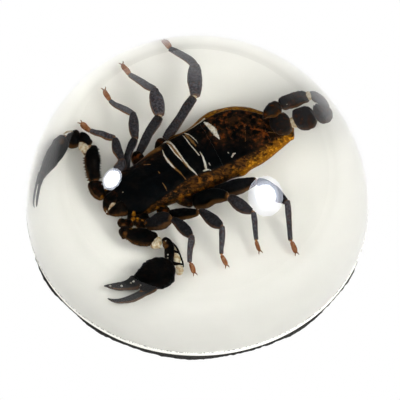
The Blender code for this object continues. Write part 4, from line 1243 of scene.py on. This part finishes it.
def add_lamp(name, place, aim, size, radiance, reflected, shape=ROUND, tint=WHITE):
    """An oval lamp, seen either in reflections only or never in them.

    Its width and its height are the size times the two values of the shape.
    """
    data = bpy.data.lights.new(name, "AREA")
    data.shape = "ELLIPSE"
    data.size, data.size_y = size * shape[0], size * shape[1]
    data.energy = radiance * math.pi * math.pi * data.size * data.size_y / 4
    data.color = tint
    lamp = bpy.data.objects.new(name, data)
    bpy.context.scene.collection.objects.link(lamp)
    away = np.asarray(place) - np.asarray(aim)
    lamp.location = place
    lamp.rotation_euler = (math.acos(away[2] / np.linalg.norm(away)), 0.0,
                           math.atan2(away[1], away[0]) + math.pi / 2)
    lamp.visible_camera = False
    lamp.visible_glossy = reflected
    lamp.visible_diffuse = not reflected
    lamp.visible_transmission = not reflected
    lamp.visible_volume_scatter = False


class PAPERWEIGHT_OT_studio(bpy.types.Operator):
    """Add the floor, the wall, the lamps, the surroundings and the camera"""
    bl_idname = "paperweight.studio"
    bl_label = "Studio"

    def execute(self, context):
        settings = context.scene.paperweight_studio
        self.sheet("floor", settings.floor, (1.0, 1.0, 0.0), FLOOR_FADE,
                   [(x * FLOOR_HALF_WIDTH, y * FLOOR_HALF_WIDTH, 0.0)
                    for x, y in ((-1, -1), (1, -1), (1, 1), (-1, 1))])
        wall = self.sheet("wall", settings.wall, (1.0, 0.0, 1.0), WALL_FADE,
                          [(x * WALL_HALF_WIDTH, WALL_AT, z * WALL_HEIGHT)
                           for x, z in ((-1, 0), (1, 0), (1, 1), (-1, 1))])
        wall.visible_camera = False
        self.surroundings(settings.sky)
        self.lamps(settings)
        self.camera(context.scene)
        context.scene.view_settings.view_transform = "Standard"
        context.scene.cycles.sample_clamp_indirect = 0.0
        return {"FINISHED"}

    def sheet(self, name, glow, axes, fade, corners):
        """A flat white sheet that glows, and fades with the distance along the given axes.

        Fade holds the distance of the full glow, that of the least, and the least itself.
        """
        mesh = bpy.data.meshes.new(name)
        mesh.from_pydata(corners, [], [(0, 1, 2, 3)])
        paper = Finish(name)
        full, least, rest = fade
        shade = paper.blend(paper.step(paper.reach(axes), full, least), WHITE, [rest] * 3)
        paper.surface({"Base Color": (0.0, 0.0, 0.0, 1.0), "Roughness": 1.0,
                       "Specular IOR Level": 0.0, "Emission Color": shade,
                       "Emission Strength": glow})
        mesh.materials.append(paper.material)
        sheet = bpy.data.objects.new(name, mesh)
        bpy.context.scene.collection.objects.link(sheet)
        return sheet

    def surroundings(self, strength):
        """Even white light from everywhere, which the ball's surface doesn't mirror."""
        world = bpy.data.worlds.new("surroundings")
        bpy.context.scene.world = world
        world.use_nodes = True
        background = world.node_tree.nodes["Background"]
        background.inputs["Color"].default_value = (1.0, 1.0, 1.0, 1.0)
        background.inputs["Strength"].default_value = strength
        world.cycles_visibility.glossy = False

    def lamps(self, settings):
        """Three lamps that light, and discs at the round ones' places that the ball mirrors."""
        for name, lamp, level in (("key_lamp", KEY_LAMP, settings.key),
                                  ("side_lamp", SIDE_LAMP, settings.side)):
            spot, way, distance, degrees = lamp
            place = np.array(spot) + np.array(way) * distance
            size = 2 * np.linalg.norm(place) * math.tan(math.radians(degrees))
            add_lamp(name, place, LAMPS_AIM, size, level, False)
        place, size, level = FRONT_LAMP
        add_lamp("front_lamp", place, LAMPS_AIM, size, level, False)
        for number, (lamp, degrees, level, shape, tint) in enumerate(MIRRORED):
            spot, way, distance, _ = lamp
            near = distance * (1 - DISC_GAP * number)
            add_lamp("mirrored_%d" % number, np.array(spot) + np.array(way) * near, spot,
                     2 * near * math.tan(math.radians(degrees)), level, True, shape, tint)

    def camera(self, scene):
        """The camera that looks down at the paperweight from the side of -Y."""
        data = bpy.data.cameras.new("camera")
        data.sensor_width = CAMERA_SENSOR
        data.lens = CAMERA_LENS
        data.shift_x, data.shift_y = CAMERA_SHIFT
        data.dof.use_dof = False
        camera = bpy.data.objects.new("camera", data)
        scene.collection.objects.link(camera)
        camera.location = (0.0, -math.cos(CAMERA_TILT) * CAMERA_DISTANCE,
                           BALL_CENTRE_Z * MM + math.sin(CAMERA_TILT) * CAMERA_DISTANCE)
        camera.rotation_euler = (math.pi / 2 - CAMERA_TILT, 0.0, 0.0)
        scene.camera = camera


OPERATORS = (PAPERWEIGHT_OT_studio, PAPERWEIGHT_OT_felt, PAPERWEIGHT_OT_white,
             PAPERWEIGHT_OT_dome, PAPERWEIGHT_OT_body, PAPERWEIGHT_OT_head,
             PAPERWEIGHT_OT_claws, PAPERWEIGHT_OT_legs, PAPERWEIGHT_OT_tail,
             PAPERWEIGHT_OT_skins)
SETTINGS = {"paperweight_base": BaseSettings, "paperweight_dome": DomeSettings,
            "paperweight_scorpion": ScorpionSettings, "paperweight_studio": StudioSettings}


class PAPERWEIGHT_PT_panel(bpy.types.Panel):
    """Lists the pieces and their settings"""
    bl_idname = "PAPERWEIGHT_PT_panel"
    bl_label = "Paperweight"
    bl_space_type = "VIEW_3D"
    bl_region_type = "UI"
    bl_category = "Paperweight"

    def draw(self, context):
        for name in SETTINGS:
            box = self.layout.box()
            group = getattr(context.scene, name)
            for key in group.bl_rna.properties.keys():
                if key not in ("rna_type", "name"):
                    box.prop(group, key)
        for operator in OPERATORS:
            self.layout.operator(operator.bl_idname)


def register():
    """Register every class and the settings."""
    for name, group in SETTINGS.items():
        bpy.utils.register_class(group)
        setattr(bpy.types.Scene, name, bpy.props.PointerProperty(type=group))
    for operator in OPERATORS:
        bpy.utils.register_class(operator)
    bpy.utils.register_class(PAPERWEIGHT_PT_panel)


def unregister():
    """Take everything out again."""
    bpy.utils.unregister_class(PAPERWEIGHT_PT_panel)
    for operator in reversed(OPERATORS):
        bpy.utils.unregister_class(operator)
    for name, group in SETTINGS.items():
        delattr(bpy.types.Scene, name)
        bpy.utils.unregister_class(group)


def main():
    """Build every piece."""
    register()
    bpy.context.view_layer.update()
    for operator in OPERATORS:
        group, name = operator.bl_idname.split(".")
        getattr(getattr(bpy.ops, group), name)()


if __name__ == "__main__":
    main()
